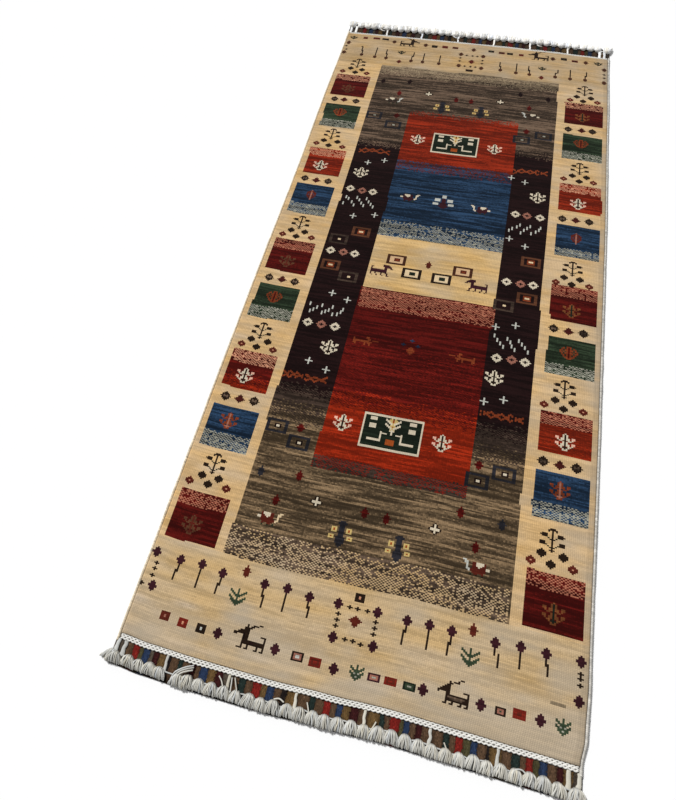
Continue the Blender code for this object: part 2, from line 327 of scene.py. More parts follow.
# Motifs, a letter for each knot: "#" and "+" take the yarns given where the motif is placed.
# Half motifs are mirrored about their last column.
HALF_MOTIFS = {
    "star": "..# .## .## ### ### .## .## ..#",
    "wide_star": "...# ..## .### #### .### ..## ..## ...#",
    "diamond": "..# .## ### ### ### .## ..#",
    "ringlet": "..# .## ### ##+ ### .## ..#",
    "spade": "..# ..# .## .## ### .## .## .## ..#",
    "bead": ".# ## .#",
    "cross": "..# ..# ..# ### ..# ..# ..#",
    "lozenge": "...# ..## ..## .### #### .### ..## ...#",
    "open_lozenge": "...# ..## .### .#+# ##++ .#+# .### ..## ...#",
    "bud": ".# ## ## ## ## .#",
    "sprig": "...# #.## .### ##.# .### ..## ...#",
    "small_star": "..# .## .## ### .## .## ..#",
    "ring": "...# ..## .### .##+ ##++ .##+ .### ..## ...#",
    "plant": "....# #...# ##..# .##.# ..### #..## ##..# .##.# .#### ..### ...## ....#",
    "bush": "...# #..# ##.# .### #.## ##+# .### .##+ ..## ...#",
    "outlined_cross": "...d ..dw ..dw .ddw dwww dwww .ddw ..dw ...d",
    "flower": ".....# ....#+ ....#+ 33..#+ 33.##+ .#.##+ ..##.+ ....#+ 33..#+ 33.##+ .#.##+ ..##.+ ...#++ "
              "....#+ ....##",
    "full_flower": "....## ..#.#+ .##.#+ .#.##+ ##.##+ #.#.#+ ##.##+ .#.##+ .##.#+ ..#.#+ ..###+ ...##+ "
                   "....##",
    "tree": "......## .....### .....#.# .......# ..###..# .####..# ..##+..# .....+.# ......+# .......# "
            ".###...# .###...# .###+..# .....+.# ......+# .......# ......## .......#",
    "figure": "......## .....### .....### ......## ......## ..yyy.## ..yoy.## ..yoy.## ..yyy.## ......## "
              "......## .yyy..## .yoy.### .yyy.### .....### .....### .....### ......## ......## .......#",
    "crowned_figure": "......xx ......xx ......xx ......xx .......# .xxxx.## .xxxx.## .xxxx.## .xxxx.## "
                      "......## ......## xxxx.### xxxx.### xxxx.### ....#### ....#### .....### ......##",
    "panel": "wwwwwwwwwwwwwwwwww wwwwwwwwwwwwwwwwww wNNNNNNNNNNNNNNNyN wNNNwwwwNNNNNwNyyo "
             "wNNNwwwwNNNNNwwyyo wNNNwwwwNNNNNNwwyo wNNNNNNNNNNNNNNwwy wNNNNNNNNNNNNwNNwy "
             "wNNNNNNNNNNNNwwNyy wNNNwwwwNNNNNNwwyo wNNNwwwwNNNNNNNwwy wNNNwwwwNNNNNNNNwy "
             "wNNNwwwwNNNNNNNNyw wNNNNNNNNNNNNNNNww wNNNNNNNNNNNNNNNNw wNNNNNNNNNNwNNNNNw "
             "wNNNNNNNNNNwwwwNNw wNNNNNNNNNNwNNNNNN wNNNNNNNNNNwNNNNNN wNNNNNNNNNNwNNNNNN "
             "wNNNNNNNNNNwNNNNNN wNNNNNNNNNNwNNNooo wNNNwwwwwwwwNNNooo wNNNwwwwwwwwNNNooo "
             "wNNNNNNNNNNNNNNooo wNNNNNNNNNNNNNNooo wNNNNNNNNNNNNNNNNN wNNNNNNNNNNNNNNNNN "
             "wNNNNNNNNNNNNNNNNN wwwwwwwwwwwwwwwwww wwwwwwwwwwwwwwwwww",
    "lamp": "...+ ..## .##+ ###+ ##.+ ###+ #.#+ ###+ ##.+ .##+ .##+ ..#+ ...+ ...+",
}
WHOLE_MOTIFS = {
    "dash": "# # # #",
    "frame": "############# ############# ##+++++++++## ##+++++++++## ##+++3333++## ##+++3443++## "
             "##+++3443++## ##+++3333++## ##+++++++++## ##+++++++++## ############# #############",
    "deep_frame": "############# ############# ##+++++++++## ##++33333++## ##++33333++## ##++34443++## "
                  "##++34443++## ##++33333++## ##++33333++## ##+++++++++## ############# #############",
    "stag": "..........##... .........#..... .....#.###..... .....##........ ....##......... "
            "...###......... ..####......... .#####......### ######........# #...##........# "
            "....########### ....#++++++++## ....##++++++### ....########### ....#..#...#..# "
            "...##.##..##.##",
    "deer": "............##... ......#..###..... ......#.##....... .....####........ .....###......... "
            "...#####......... ..######......... #####+##......### ##...+##........# .....+##........# "
            ".....+##........# .....############ .....####++###### .....############ .....#..#....#..# "
            ".....#..#....#..# ...###.##...##.##",
    "goat": "........####... ........#####.. ........######. ##.......#####. #........##..## "
            "#........##.... ###########.... ###########.... ###########.... ###########.... "
            "#..#...#..##... #..#...#...#... #...#..#...#... .#..#...#..##..",
    "hen": "............++ ..#wwww##..++. ..#wwww##..++. ..##www##..+.. ww###w###..+.. ww#######..+.. "
           "..########++.. ..########+... ...######..... ...#..##.n.... ...n..n..n....",
    "dog": "........##...... ........##...... #........##..... #........##.#### ##########...... "
           "############.... ##.....#.##..... ##.....#..#..... .#.....#..#.....",
}

# Where motifs stand: motif, yarns for "#" and "+", then the places of their centres.
# A name that starts with "~" is turned left to right.
PLACES = (
    # near border, upper row
    ("spade", "mm", (188, 1647), (606, 1645)),
    ("plant", "tt", (183, 1693), (607, 1689)),
    ("star", "vv", (8, 1653), (22, 1711), (788, 1652), (787, 1711)),
    ("star", "vv", (368, 1660), (439, 1659), (370, 1714), (440, 1714)),
    ("wide_star", "mm", (404, 1683)),
    ("bead", "dd", (389, 1660), (404, 1660), (419, 1660), (370, 1676), (370, 1685), (370, 1695),
     (440, 1674), (440, 1684), (440, 1694), (391, 1714), (406, 1714), (421, 1714),
     (15, 1672), (15, 1681), (15, 1693), (788, 1671), (788, 1679), (788, 1689), (3, 1711)),
    # near border, lower row
    ("star", "vv", (170, 1757), (277, 1759), (383, 1762), (536, 1756), (634, 1755), (728, 1753)),
    ("deer", "dk", (226, 1750)),
    ("stag", "dG", (588, 1748)),
    ("bush", "tl", (421, 1758), (766, 1753)),
    # rows of lozenges in the side borders
    ("lozenge", "ZZ", (60, 321), (60, 652), (61, 989), (62, 1313), (735, 329), (735, 662), (735, 993),
     (735, 1310)),
    ("open_lozenge", "dG", (28, 321), (93, 321), (28, 652), (93, 652), (29, 989), (94, 989), (30, 1313),
     (95, 1313), (702, 329), (767, 329), (702, 662), (767, 662), (702, 993), (767, 993), (702, 1310),
     (767, 1310)),
    # flowers in the side blocks
    ("flower", "wdH", (56, 597), (55, 1257), (739, 604), (741, 1259)),
    ("flower", "umu", (60, 268), (55, 1590), (58, 931)),
    ("flower", "ANA", (738, 1588), (737, 275), (738, 937)),
    ("full_flower", "iR", (60, 377), (58, 1041), (737, 383), (738, 1050)),
    ("lamp", "mq", (60, 707), (738, 720)),
    ("flower", "iqi", (56, 1366), (739, 1361)),
    # large nested squares
    ("frame", "Vzmi", (321, 875), (482, 877)),
    ("frame", "dhNN", (366, 908), (436, 908)),
    ("deep_frame", "ukih", (218, 806), (637, 817), (166, 920), (637, 925)),
    ("frame", "jkkh", (217, 947), (589, 953), (168, 838)),
    ("frame", "Dgkw", (161, 1355), (212, 1382), (578, 1380), (630, 1355)),
    ("frame", "DGjl", (219, 400), (160, 370), (580, 395), (636, 372)),
    # centre of the field
    ("flower", "wdH", (299, 446), (510, 446), (291, 1318), (501, 1318)),
    ("panel", "ww", (404, 449), (397, 1320)),
    ("crowned_figure", "vv", (404, 665)),
    ("goat", "vv", (292, 913)),
    ("~goat", "vv", (519, 913)),
    ("spade", "mm", (401, 873)),
    ("dog", "ii", (296, 1115)),
    ("~dog", "ii", (514, 1113)),
    ("star", "ii", (400, 1118)),
    ("bead", "bb", (384, 1104), (416, 1105), (400, 1092)),
    ("hen", "vw", (316, 666)),
    ("~hen", "vw", (499, 674)),
    # side columns of the field
    ("ring", "wk", (158, 665), (219, 665), (156, 877), (219, 877), (155, 1093), (221, 1093),
     (589, 671), (649, 671), (589, 884), (649, 884), (589, 1094), (649, 1094)),
    ("ring", "qk", (189, 665), (188, 877), (188, 1093), (619, 671), (619, 884), (619, 1094)),
    ("cross", "xx", (227, 546), (183, 560), (238, 742), (184, 757), (192, 1001), (232, 1013), (185, 1191),
     (227, 1204), (580, 753), (621, 769), (619, 1004), (576, 1015), (614, 1192), (572, 1205),
     (604, 556), (567, 545)),
    ("flower", "wdw", (171, 600), (220, 1146), (586, 1146), (640, 602)),
    # near part of the grey field
    ("outlined_cross", "ww", (281, 1491), (513, 1489)),
    ("spade", "DD", (155, 1457), (635, 1454)),
    ("spade", "RR", (235, 1448), (559, 1448), (380, 1491), (420, 1491), (201, 1506), (593, 1505)),
    ("star", "RR", (211, 1350), (580, 1346)),
    ("hen", "mh", (200, 1544)),
    ("~hen", "mx", (600, 1544)),
    ("figure", "DD", (343, 1541), (455, 1541)),
    # far part of the grey field
    ("outlined_cross", "ww", (297, 250), (508, 250)),
    ("spade", "kk", (155, 216), (233, 207), (560, 207), (640, 216)),
    ("spade", "RR", (211, 262), (590, 262), (380, 262), (425, 262)),
    ("hen", "jx", (204, 297)),
    ("~hen", "jx", (596, 297)),
    ("figure", "DD", (347, 305), (455, 305)),
    ("star", "RR", (225, 360), (588, 360)),
    # far border
    ("sprig", "NN", (20, 22), (773, 26), (184, 72), (613, 78)),
    ("small_star", "VV", (153, 23), (252, 24), (400, 22), (642, 24), (736, 28), (8, 50), (6, 100), (789, 54),
     (791, 113), (366, 50), (434, 50), (367, 105), (434, 106)),
    ("star", "mm", (401, 81)),
    ("~deer", "dd", (200, 16)),
    ("deer", "dd", (597, 16)),
    ("bead", "dd", (385, 53), (400, 53), (414, 53), (367, 68), (367, 82), (433, 70), (433, 85), (385, 105),
     (400, 105), (416, 105), (5, 66), (8, 85), (789, 75), (790, 90)),
    ("small_star", "mm", (185, 118), (613, 119)),
)

# Trees of the side borders: where each stands, and where its loose leaves and fruit lie from there
TREES = ((61, 147), (61, 471), (60, 806), (60, 1137), (59, 1463), (737, 160), (737, 479), (736, 817),
         (735, 1141), (731, 1460))
TREE_LEAVES = ((-18, 28), (19, 28), (0, 45))
TREE_FRUIT = ((-38, 44), (38, 44))

# Stalked blooms of the end borders: across, head, where the stalk steps aside, how far, and its foot
BLOOMS = (
    (60, 1657, 1677, -4, 1692), (101, 1655, 1677, 0, 1693), (144, 1659, 1680, -4, 1695),
    (226, 1661, 1680, 4, 1697), (269, 1658, 1680, 0, 1696), (313, 1661, 1680, 4, 1695),
    (491, 1659, 1677, -4, 1695), (531, 1656, 1677, 0, 1693), (570, 1657, 1677, -4, 1693),
    (648, 1657, 1675, 4, 1691), (690, 1652, 1670, 0, 1686), (733, 1653, 1671, 4, 1685),
    (61, 102, 82, -4, 62), (104, 106, 84, 0, 62), (142, 107, 86, -4, 66), (219, 107, 85, 4, 68),
    (256, 107, 87, 0, 66), (305, 107, 87, 0, 68), (491, 106, 88, -4, 70), (536, 110, 88, 0, 68),
    (577, 110, 92, -4, 72), (653, 110, 92, 4, 76), (695, 110, 90, 0, 70), (736, 108, 92, 4, 74),
)

# Nested squares: centre, knots across and down, rim, then the rim, ring and centre yarns
SQUARES = (
    (67, 1753, 5, 6, "m", "m", "q"), (100, 1757, 5, 6, "M", "M", "p"), (136, 1758, 5, 6, "d", "d", "x"),
    (318, 1760, 6, 6, "d", "q", "x"), (351, 1761, 6, 6, "M", "m", "M"), (453, 1758, 6, 5, "v", "q", "l"),
    (483, 1757, 6, 5, "M", "m", "M"), (512, 1757, 6, 5, "N", "t", "l"), (664, 1755, 5, 5, "d", "q", "t"),
    (694, 1753, 6, 6, "M", "M", "m"), (403, 1643, 5, 6, "d", "d", "p"),
    (56, 18, 4, 4, "m", "m", "m"), (91, 15, 6, 4, "m", "m", "m"), (121, 15, 6, 4, "d", "d", "d"),
    (281, 24, 5, 5, "d", "d", "t"), (311, 22, 5, 5, "m", "m", "m"), (343, 22, 5, 4, "m", "d", "d"),
    (456, 20, 5, 4, "d", "d", "t"), (486, 22, 5, 4, "m", "d", "d"), (513, 22, 5, 4, "d", "d", "t"),
    (544, 22, 4, 4, "m", "m", "m"), (671, 22, 5, 5, "d", "d", "t"), (704, 27, 5, 4, "m", "d", "d"),
    (401, 123, 6, 4, "d", "d", "d"),
)

# Lines of knots: yarn, then the places that each line passes
LINES = (
    ("P", (744, 1724), (766, 1724)),
    ("i", (149, 524), (165, 508), (185, 518), (206, 504), (232, 522)),
    ("i", (149, 514), (165, 524), (185, 508), (206, 520), (232, 508)),
    ("i", (571, 528), (590, 508), (612, 522), (632, 506), (655, 520)),
    ("i", (571, 514), (590, 522), (612, 508), (632, 522), (655, 508)),
    ("i", (139, 1238), (152, 1224), (168, 1236), (190, 1226), (210, 1238), (235, 1224)),
    ("i", (139, 1226), (152, 1238), (168, 1224), (190, 1240), (210, 1228), (235, 1236)),
    ("i", (571, 1236), (590, 1226), (612, 1240), (632, 1224), (655, 1238)),
    ("i", (571, 1228), (590, 1238), (612, 1226), (632, 1240), (655, 1226)),
)

# Small pale dashes of the side columns, as rows of blobs
DASHES = (
    (154, 695), (162, 701), (170, 709), (177, 719), (181, 692), (189, 701), (197, 710), (204, 718),
    (208, 693), (215, 701), (223, 709), (230, 716), (149, 718),
    (148, 1041), (153, 1060), (160, 1055), (168, 1048), (176, 1041), (180, 1060), (187, 1055),
    (195, 1050), (203, 1042), (207, 1062), (215, 1058), (223, 1050), (229, 1042),
    (578, 727), (586, 719), (594, 711), (602, 704), (606, 728), (614, 720), (621, 712), (629, 704),
    (633, 727), (641, 719), (648, 712), (655, 705),
    (576, 1040), (583, 1048), (590, 1056), (597, 1064), (604, 1042), (611, 1050), (618, 1058),
    (625, 1066), (631, 1042), (638, 1050), (645, 1058), (652, 1066),
)


def to_knots(x, y):
    """The row and column of a place seen on the finished cloth, whose weave is a little uneven."""
    place_x, place_y = x / 1000 - HALF_WIDTH, HALF_LENGTH - y / 1000
    shift_x, shift_y = shift_at(place_x, place_y)
    column = (place_x - shift_x + HALF_WIDTH) * 1000 / KNOT_WIDTH
    row = (HALF_LENGTH - place_y + shift_y) * 1000 / KNOT_DEPTH
    return float(row), float(column)


def knots_of(left, right, top, bottom):
    """The knots of a field given in millimetres, as slices of rows and columns."""
    rows = slice(round(top / KNOT_DEPTH), round(bottom / KNOT_DEPTH))
    columns = slice(round(left / KNOT_WIDTH), round(right / KNOT_WIDTH))
    return rows, columns


def mix_yarns(knots, rng, light, dark, field, top_share, bottom_share):
    """Two yarns that take turns from knot to knot, with the light one's share changing down the field."""
    rows, columns = knots_of(*field)
    height, width = rows.stop - rows.start, columns.stop - columns.start
    turn = (np.arange(height)[:, None] + np.arange(width)[None, :]) % 2
    level = MIX_LEVEL + MIX_TURN * turn + MIX_STREAKS * noise_along(rng, height, width, MIX_STREAK)
    level += MIX_SINGLE * rng.standard_normal((height, width))
    share = np.linspace(top_share, bottom_share, height)[:, None]
    knots[rows, columns] = np.where(level < share, light, dark)


def mix_fields(knots, rng, fields):
    for light, dark, left, right, top, bottom, top_share, bottom_share in fields:
        mix_yarns(knots, rng, light, dark, (left, right, top, bottom), top_share, bottom_share)


def chart_of(name):
    """A motif as an array of letters."""
    if name.startswith("~"):
        return chart_of(name[1:])[:, ::-1]
    if name in WHOLE_MOTIFS:
        return np.array([list(row) for row in WHOLE_MOTIFS[name].split()])
    return np.array([list(row + row[-2::-1]) for row in HALF_MOTIFS[name].split()])


def draw(knots, chart, x, y, yarns="##"):
    """Ties a motif into the knots, centred on a place."""
    row, column = to_knots(x, y)
    top = round(row - chart.shape[0] / 2)
    left = round(column - chart.shape[1] / 2)
    for down, across in zip(*np.nonzero(chart != ".")):
        letter = chart[down, across]
        yarn = dict(zip("#+34", yarns)).get(letter, letter)
        if 0 <= top + down < ROWS and 0 <= left + across < COLUMNS:
            knots[top + down, left + across] = yarn


def draw_square(knots, x, y, across, down, rim, ring, centre):
    """Nested squares: a rim, a ring and a centre."""
    chart = np.full((down, across), rim)
    chart[1:-1, 1:-1] = ring
    inner_down = (down - 1) // 2
    inner_across = (across - 1) // 2
    chart[inner_down:down - inner_down, inner_across:across - inner_across] = centre
    draw(knots, chart, x, y)


def draw_line(knots, yarn, places, across=1, down=2):
    """Knots along a line through a few places."""
    for (x0, y0), (x1, y1) in zip(places, places[1:]):
        steps = max(1, round(max(abs(x1 - x0) / KNOT_WIDTH, abs(y1 - y0) / KNOT_DEPTH)))
        for step in range(steps + 1):
            share = step / steps
            draw(knots, np.full((down, across), yarn), x0 + (x1 - x0) * share, y0 + (y1 - y0) * share)


def draw_bloom(knots, x, head, turn, aside, foot):
    """A bloom on a stalk that steps aside. Those of the far border stand the other way and have buds."""
    draw_line(knots, "d", ((x, head), (x, turn)))
    draw_line(knots, "d", ((x + aside, turn), (x + aside, foot)))
    if foot > head:
        draw(knots, chart_of("star"), x, head, "vv")
    else:
        draw(knots, chart_of("bud"), x, head, "VV")


def draw_tree(knots, x, y):
    """A leafy tree with loose leaves and fruit under it."""
    draw(knots, chart_of("tree"), x, y, "dN")
    for aside, below in TREE_LEAVES:
        draw(knots, chart_of("diamond"), x + aside, y + below, "dd")
    for aside, below in TREE_FRUIT:
        draw(knots, chart_of("ringlet"), x + aside, y + below, "mp")


def draw_block(knots, rng, side, start, change, stop, light, dark, plain, mixed_first):
    """A block of a side border: plain yarn, with two mixed yarns over its far or near part."""
    left, right = BLOCK_SIDES[side]
    knots[knots_of(left, right, start, stop)] = plain
    top, bottom = (start, change) if mixed_first else (change, stop)
    mix_yarns(knots, rng, light, dark, (left, right, top, bottom), *BLOCK_SHARES[mixed_first])


def drift(knots, rng):
    """Shifts the yarns by up to a knot here and there, as hand weaving does."""
    down = np.rint(layers(rng, DRIFT_DOWN)).astype(int)
    across = np.rint(layers(rng, DRIFT_ACROSS)).astype(int)
    rows = np.clip(np.arange(ROWS)[:, None] + down, 0, ROWS - 1)
    columns = np.clip(np.arange(COLUMNS)[None, :] + across, 0, COLUMNS - 1)
    return knots[rows, columns]


def lay_knots():
    """The yarn of every knot: fields first, then blocks, then motifs."""
    rng = np.random.default_rng(SEEDS["pattern"])
    knots = np.full((ROWS, COLUMNS), "c")
    for yarn, *field in FIELDS:
        knots[knots_of(*field)] = yarn
    mix_fields(knots, rng, MIXES)
    for block in BLOCKS:
        draw_block(knots, rng, *block)
    mix_fields(knots, rng, BLOCK_MIXES)
    knots = drift(knots, rng)
    for place in TREES:
        draw_tree(knots, *place)
    for bloom in BLOOMS:
        draw_bloom(knots, *bloom)
    for square in SQUARES:
        draw_square(knots, *square)
    for yarn, *places in LINES:
        draw_line(knots, yarn, places)
    for place in DASHES:
        draw(knots, chart_of("dash"), *place, "xx")
    for name, yarns, *places in PLACES:
        chart = chart_of(name)
        for place in places:
            draw(knots, chart, *place, yarns)
    return knots


def blotches(rng, down, across):
    """Smooth noise of unit spread over the whole cloth, with features a number of knots across."""
    raw = rng.standard_normal((ROWS // down + 3, COLUMNS // across + 3))
    row, column = np.arange(ROWS)[:, None] / down, np.arange(COLUMNS)[None, :] / across
    low_row, low_column = row.astype(int), column.astype(int)
    part_row, part_column = row - low_row, column - low_column
    part_row = part_row ** 2 * (3 - 2 * part_row)
    part_column = part_column ** 2 * (3 - 2 * part_column)
    upper = raw[low_row, low_column] * (1 - part_column) + raw[low_row, low_column + 1] * part_column
    lower = raw[low_row + 1, low_column] * (1 - part_column) + raw[low_row + 1, low_column + 1] * part_column
    return upper * (1 - part_row) + lower * part_row


def layers(rng, rows, level=0.0):
    """Blotches added up: the strength of each kind, then its knots down and across."""
    return sum((strength * blotches(rng, down, across) for strength, down, across in rows), level)


def yarn_tones(rng):
    """How light or dark each knot's yarn is: streaks along the rows, single knots and dye lots."""
    long_streaks = noise_along(rng, ROWS, COLUMNS, LONG_STREAK)
    long_streaks += STREAK_CARRY * np.roll(long_streaks, 1, axis=0)
    tone = LONG_STREAKS * long_streaks
    tone += SHORT_STREAKS * noise_along(rng, ROWS, COLUMNS, SHORT_STREAK)
    tone += SINGLE_KNOTS * rng.standard_normal((ROWS, COLUMNS))
    tone += DYE_LOTS * blotches(rng, *DYE_LOT)
    return TONE_LIMIT * np.tanh(tone / TONE_LIMIT)


def wear_and_sheen(rng):
    """How far a pale yarn turns to the greyer colour at each knot: wearing in blotches, painted sheen
    towards the near edge, and greying towards the right edge.
    """
    wear_and_sheen_share = layers(rng, WEAR_BLOTCHES, WEAR_EVEN)
    to_near = np.clip((np.arange(ROWS) / ROWS - SHEEN_START) / (1 - SHEEN_START), 0, 1)[:, None]
    to_right = (np.arange(COLUMNS) / COLUMNS)[None, :]
    # Painted sheen greys the knots towards the near edge, most of all towards its right end; the knots also
    # grey towards the right edge.
    wear_and_sheen_share += ((SHEEN_NEAR + SHEEN_NEAR_RIGHT * to_right) * to_near
             + GREYING_RIGHT * to_right ** 2 + GREYING_EDGE * to_right ** GREYING_EDGE_POWER)
    return np.clip(wear_and_sheen_share, 0, MOST_WEAR_AND_SHEEN)


def knot_colours(knots):
    """Linear colour of every knot, with the streaks of hand-spun and hand-dyed yarn."""
    rng = np.random.default_rng(SEEDS["tones"])
    tone = yarn_tones(rng)
    colours = np.zeros((ROWS, COLUMNS, 3))
    for yarn, (colour, varies) in YARNS.items():
        there = knots == yarn
        colours[there] = srgb(*colour) * np.exp(varies * tone[there] - varies ** 2 / 2)[:, None]
    pale = np.isin(knots, PALE_YARNS)
    # Pale yarns mix towards the greyer colour by their wearing and painted sheen.
    wear_and_sheen_share = wear_and_sheen(rng)[..., None] * pale[..., None]
    golden = np.where(pale, layers(rng, GOLDEN_BLOTCHES), 0.0)
    colours[..., 1] *= np.exp(-GOLDEN_GREEN * golden)
    colours[..., 2] *= np.exp(-GOLDEN_BLUE * golden)
    colours = colours * (1 - wear_and_sheen_share) + srgb(*WORN_AND_SHEEN_COLOUR) * wear_and_sheen_share
    colours[:, -SHADED_COLUMNS:] *= COLUMN_SHADE
    return np.clip(colours, 0, 1)


# Meshes

PLY_PITCH = 0.0050


class Shape:
    """Points, faces and a tint for each face, gathered piece by piece."""

    def __init__(self):
        self.points = []
        self.faces = []
        self.tints = []
        self.count = 0

    def add(self, points, blocks, tint=(1.0, 1.0, 1.0)):
        self.points.append(points)
        for block in blocks:
            self.faces += (np.asarray(block) + self.count).tolist()
        faces = sum(len(block) for block in blocks)
        self.tints.append(np.broadcast_to(tint, (faces, 3)))
        self.count += len(points)

    def make(self, name, finish):
        obj = add_mesh(name, np.concatenate(self.points).tolist(), self.faces, finish)
        add_face_colours(obj.data, "tint", np.concatenate(self.tints))
        return obj


def add_mesh(name, points, faces, finish, smooth=True):
    mesh = bpy.data.meshes.new(name)
    mesh.from_pydata(points, [], faces)
    mesh.update()
    mesh.materials.append(finish)
    if smooth:
        mesh.shade_smooth()
    obj = bpy.data.objects.new(name, mesh)
    bpy.context.scene.collection.objects.link(obj)
    return obj


def add_face_colours(mesh, name, colours):
    values = np.ones((len(colours), 4), np.float32)
    values[:, :3] = colours
    mesh.attributes.new(name, "FLOAT_COLOR", "FACE").data.foreach_set("color", values.ravel())


def grid_faces(rows, columns):
    """Quads of a grid of points that runs row by row, facing down where the rows run from far to near."""
    first = (np.arange(rows - 1)[:, None] * columns + np.arange(columns - 1)[None, :]).ravel()
    return np.stack([first, first + 1, first + columns + 1, first + columns], axis=1)


def rim_of(rows, columns):
    """The border of a grid's indices, in order round it seen from above: far, right, near, left."""
    index = np.arange(rows * columns).reshape(rows, columns)
    return np.concatenate([index[0, :-1], index[:-1, -1], index[-1, :0:-1], index[:0:-1, 0]])


def wall_faces(upper, lower):
    return np.stack([upper, np.roll(upper, -1), np.roll(lower, -1), lower], axis=1)


def slab(x, y, top, bottom):
    """A closed sheet from grids of its places and heights, whose rows run from far to near."""
    count = x.size
    upper = np.stack([x.ravel(), y.ravel(), top.ravel()], axis=1)
    lower = np.stack([x.ravel(), y.ravel(), bottom.ravel()], axis=1)
    faces = grid_faces(*x.shape)
    rim = rim_of(*x.shape)
    quads = np.concatenate([faces[:, ::-1], faces + count, wall_faces(rim, rim + count)])
    return np.concatenate([upper, lower]), (quads,)


def tube(x, y, z, radius, sides=8, plies=2, ripple=0.13, pitch=PLY_PITCH, flat=1.0):
    """A closed cord along a line of places, with ridges that wind round it for its plies or wraps."""
    centre = np.stack([x, y, z], axis=1)
    along = np.gradient(centre, axis=0)
    along /= np.linalg.norm(along, axis=1, keepdims=True)
    side = np.cross(along, (0.0, 0.0, 1.0))
    side /= np.linalg.norm(side, axis=1, keepdims=True)
    lift = np.cross(side, along) * flat
    run = np.concatenate([[0], np.cumsum(np.linalg.norm(np.diff(centre, axis=0), axis=1))])
    angle = np.arange(sides) / sides * 2 * math.pi
    ridge = 1 + ripple * np.cos(plies * (angle[None, :] - 2 * math.pi * run[:, None] / pitch))
    reach = (np.broadcast_to(radius, len(centre))[:, None] * ridge)[..., None]
    around = np.cos(angle)[None, :, None] * side[:, None] + np.sin(angle)[None, :, None] * lift[:, None]
    points = (centre[:, None] + reach * around).reshape(-1, 3)
    ring = np.arange(len(centre) - 1)[:, None] * sides
    this, after = np.arange(sides), np.roll(np.arange(sides), -1)
    quads = np.stack([ring + this, ring + sides + this, ring + sides + after, ring + after], axis=-1)
    last = (len(centre) - 1) * sides
    caps = np.stack([this, last + this[::-1]])
    return points, (quads.reshape(-1, 4), caps)


def smooth_line(places, steps=8):
    """A smooth line through a few places."""
    places = np.asarray(places, float)
    padded = np.concatenate([2 * places[:1] - places[1:2], places, 2 * places[-1:] - places[-2:-1]])
    t = np.linspace(0, 1, steps, endpoint=False)[:, None]
    runs = []
    for a, b, c, d in zip(padded, padded[1:], padded[2:], padded[3:]):
        curve = 2 * b + (c - a) * t + (2 * a - 5 * b + 4 * c - d) * t ** 2 + (3 * b - a - 3 * c + d) * t ** 3
        runs.append(curve / 2)
    return np.concatenate(runs + [places[-1:]])


# Pile and back

# How the pile's edge turns down: distance out of the grid's rim, then height
PILE_WALL = ((0.0007, 0.0069), (0.0011, 0.0052), (0.0010, 0.0032), (0.0002, 0.0014))
BACK_WALL = ((0.0004, 0.0007), (0.0004, 0.0013), (0.0001, 0.0016))
PILE_KNOTS_IN_QUAD = 2
BACK_KNOTS_IN_QUAD = 4
EDGE_INSET = 0.0011
FACE_INSET = 0.0001
LUMPS = 0.00016
BACK_LUMPS = LUMPS / 4
LUMP_LENGTH = 3

# Layout of the cloth for its texture: the near part, then the two halves of the far part beside it
FAR_PART = 0.600
MAP_MARGIN = 0.010
MAP_SIZE = 1.245
MAP_CORNER = 0.998
MAP_CORNER_SIZE = 0.001


def make_cloth(name, colours, finish, in_quad, level, wall, faces_up):
    """A face of the pile's cloth, turned over its edges and closed behind."""
    rows = ROWS // in_quad + 1
    columns = COLUMNS + 1
    across, along = np.meshgrid(
        np.linspace(-HALF_WIDTH + EDGE_INSET, HALF_WIDTH - EDGE_INSET, columns),
        np.linspace(HALF_LENGTH - EDGE_INSET, -HALF_LENGTH + EDGE_INSET, rows))
    rng = np.random.default_rng(SEEDS["lumps"])
    lumps = noise_along(rng, rows, columns, LUMP_LENGTH) * (LUMPS if faces_up else BACK_LUMPS)
    x, y = uneven(across, along)
    points = [np.stack([x.ravel(), y.ravel(), (level + lumps).ravel()], axis=1)]
    flat = [np.stack([across.ravel(), along.ravel()], axis=1)]
    rim = rim_of(rows, columns)
    outward = np.zeros((rows, columns, 2))
    outward[0, :, 1] = outward[:, -1, 0] = 1
    outward[-1, :, 1] = outward[:, 0, 0] = -1
    outward = outward.reshape(-1, 2)[rim]
    for out, height in wall:
        ring_x, ring_y = uneven(*(flat[0][rim] + outward * out).T)
        points.append(np.stack([ring_x, ring_y, np.full(len(rim), height)], axis=1))
        flat.append(flat[0][rim] + outward * (out + abs(level - height)))
    quads = [grid_faces(rows, columns)]
    rings = [rim] + [across.size + len(rim) * ring + np.arange(len(rim)) for ring in range(len(wall))]
    quads += [wall_faces(lower, upper) for upper, lower in zip(rings, rings[1:])]
    faces = np.concatenate(quads)
    faces = (faces[:, ::-1] if faces_up else faces).tolist()
    faces.append(rings[-1].tolist() if faces_up else rings[-1][::-1].tolist())
    obj = add_mesh(name, np.concatenate(points).tolist(), faces, finish)
    add_knot_maps(obj.data, np.concatenate(flat), colours, in_quad, len(wall))
    return obj


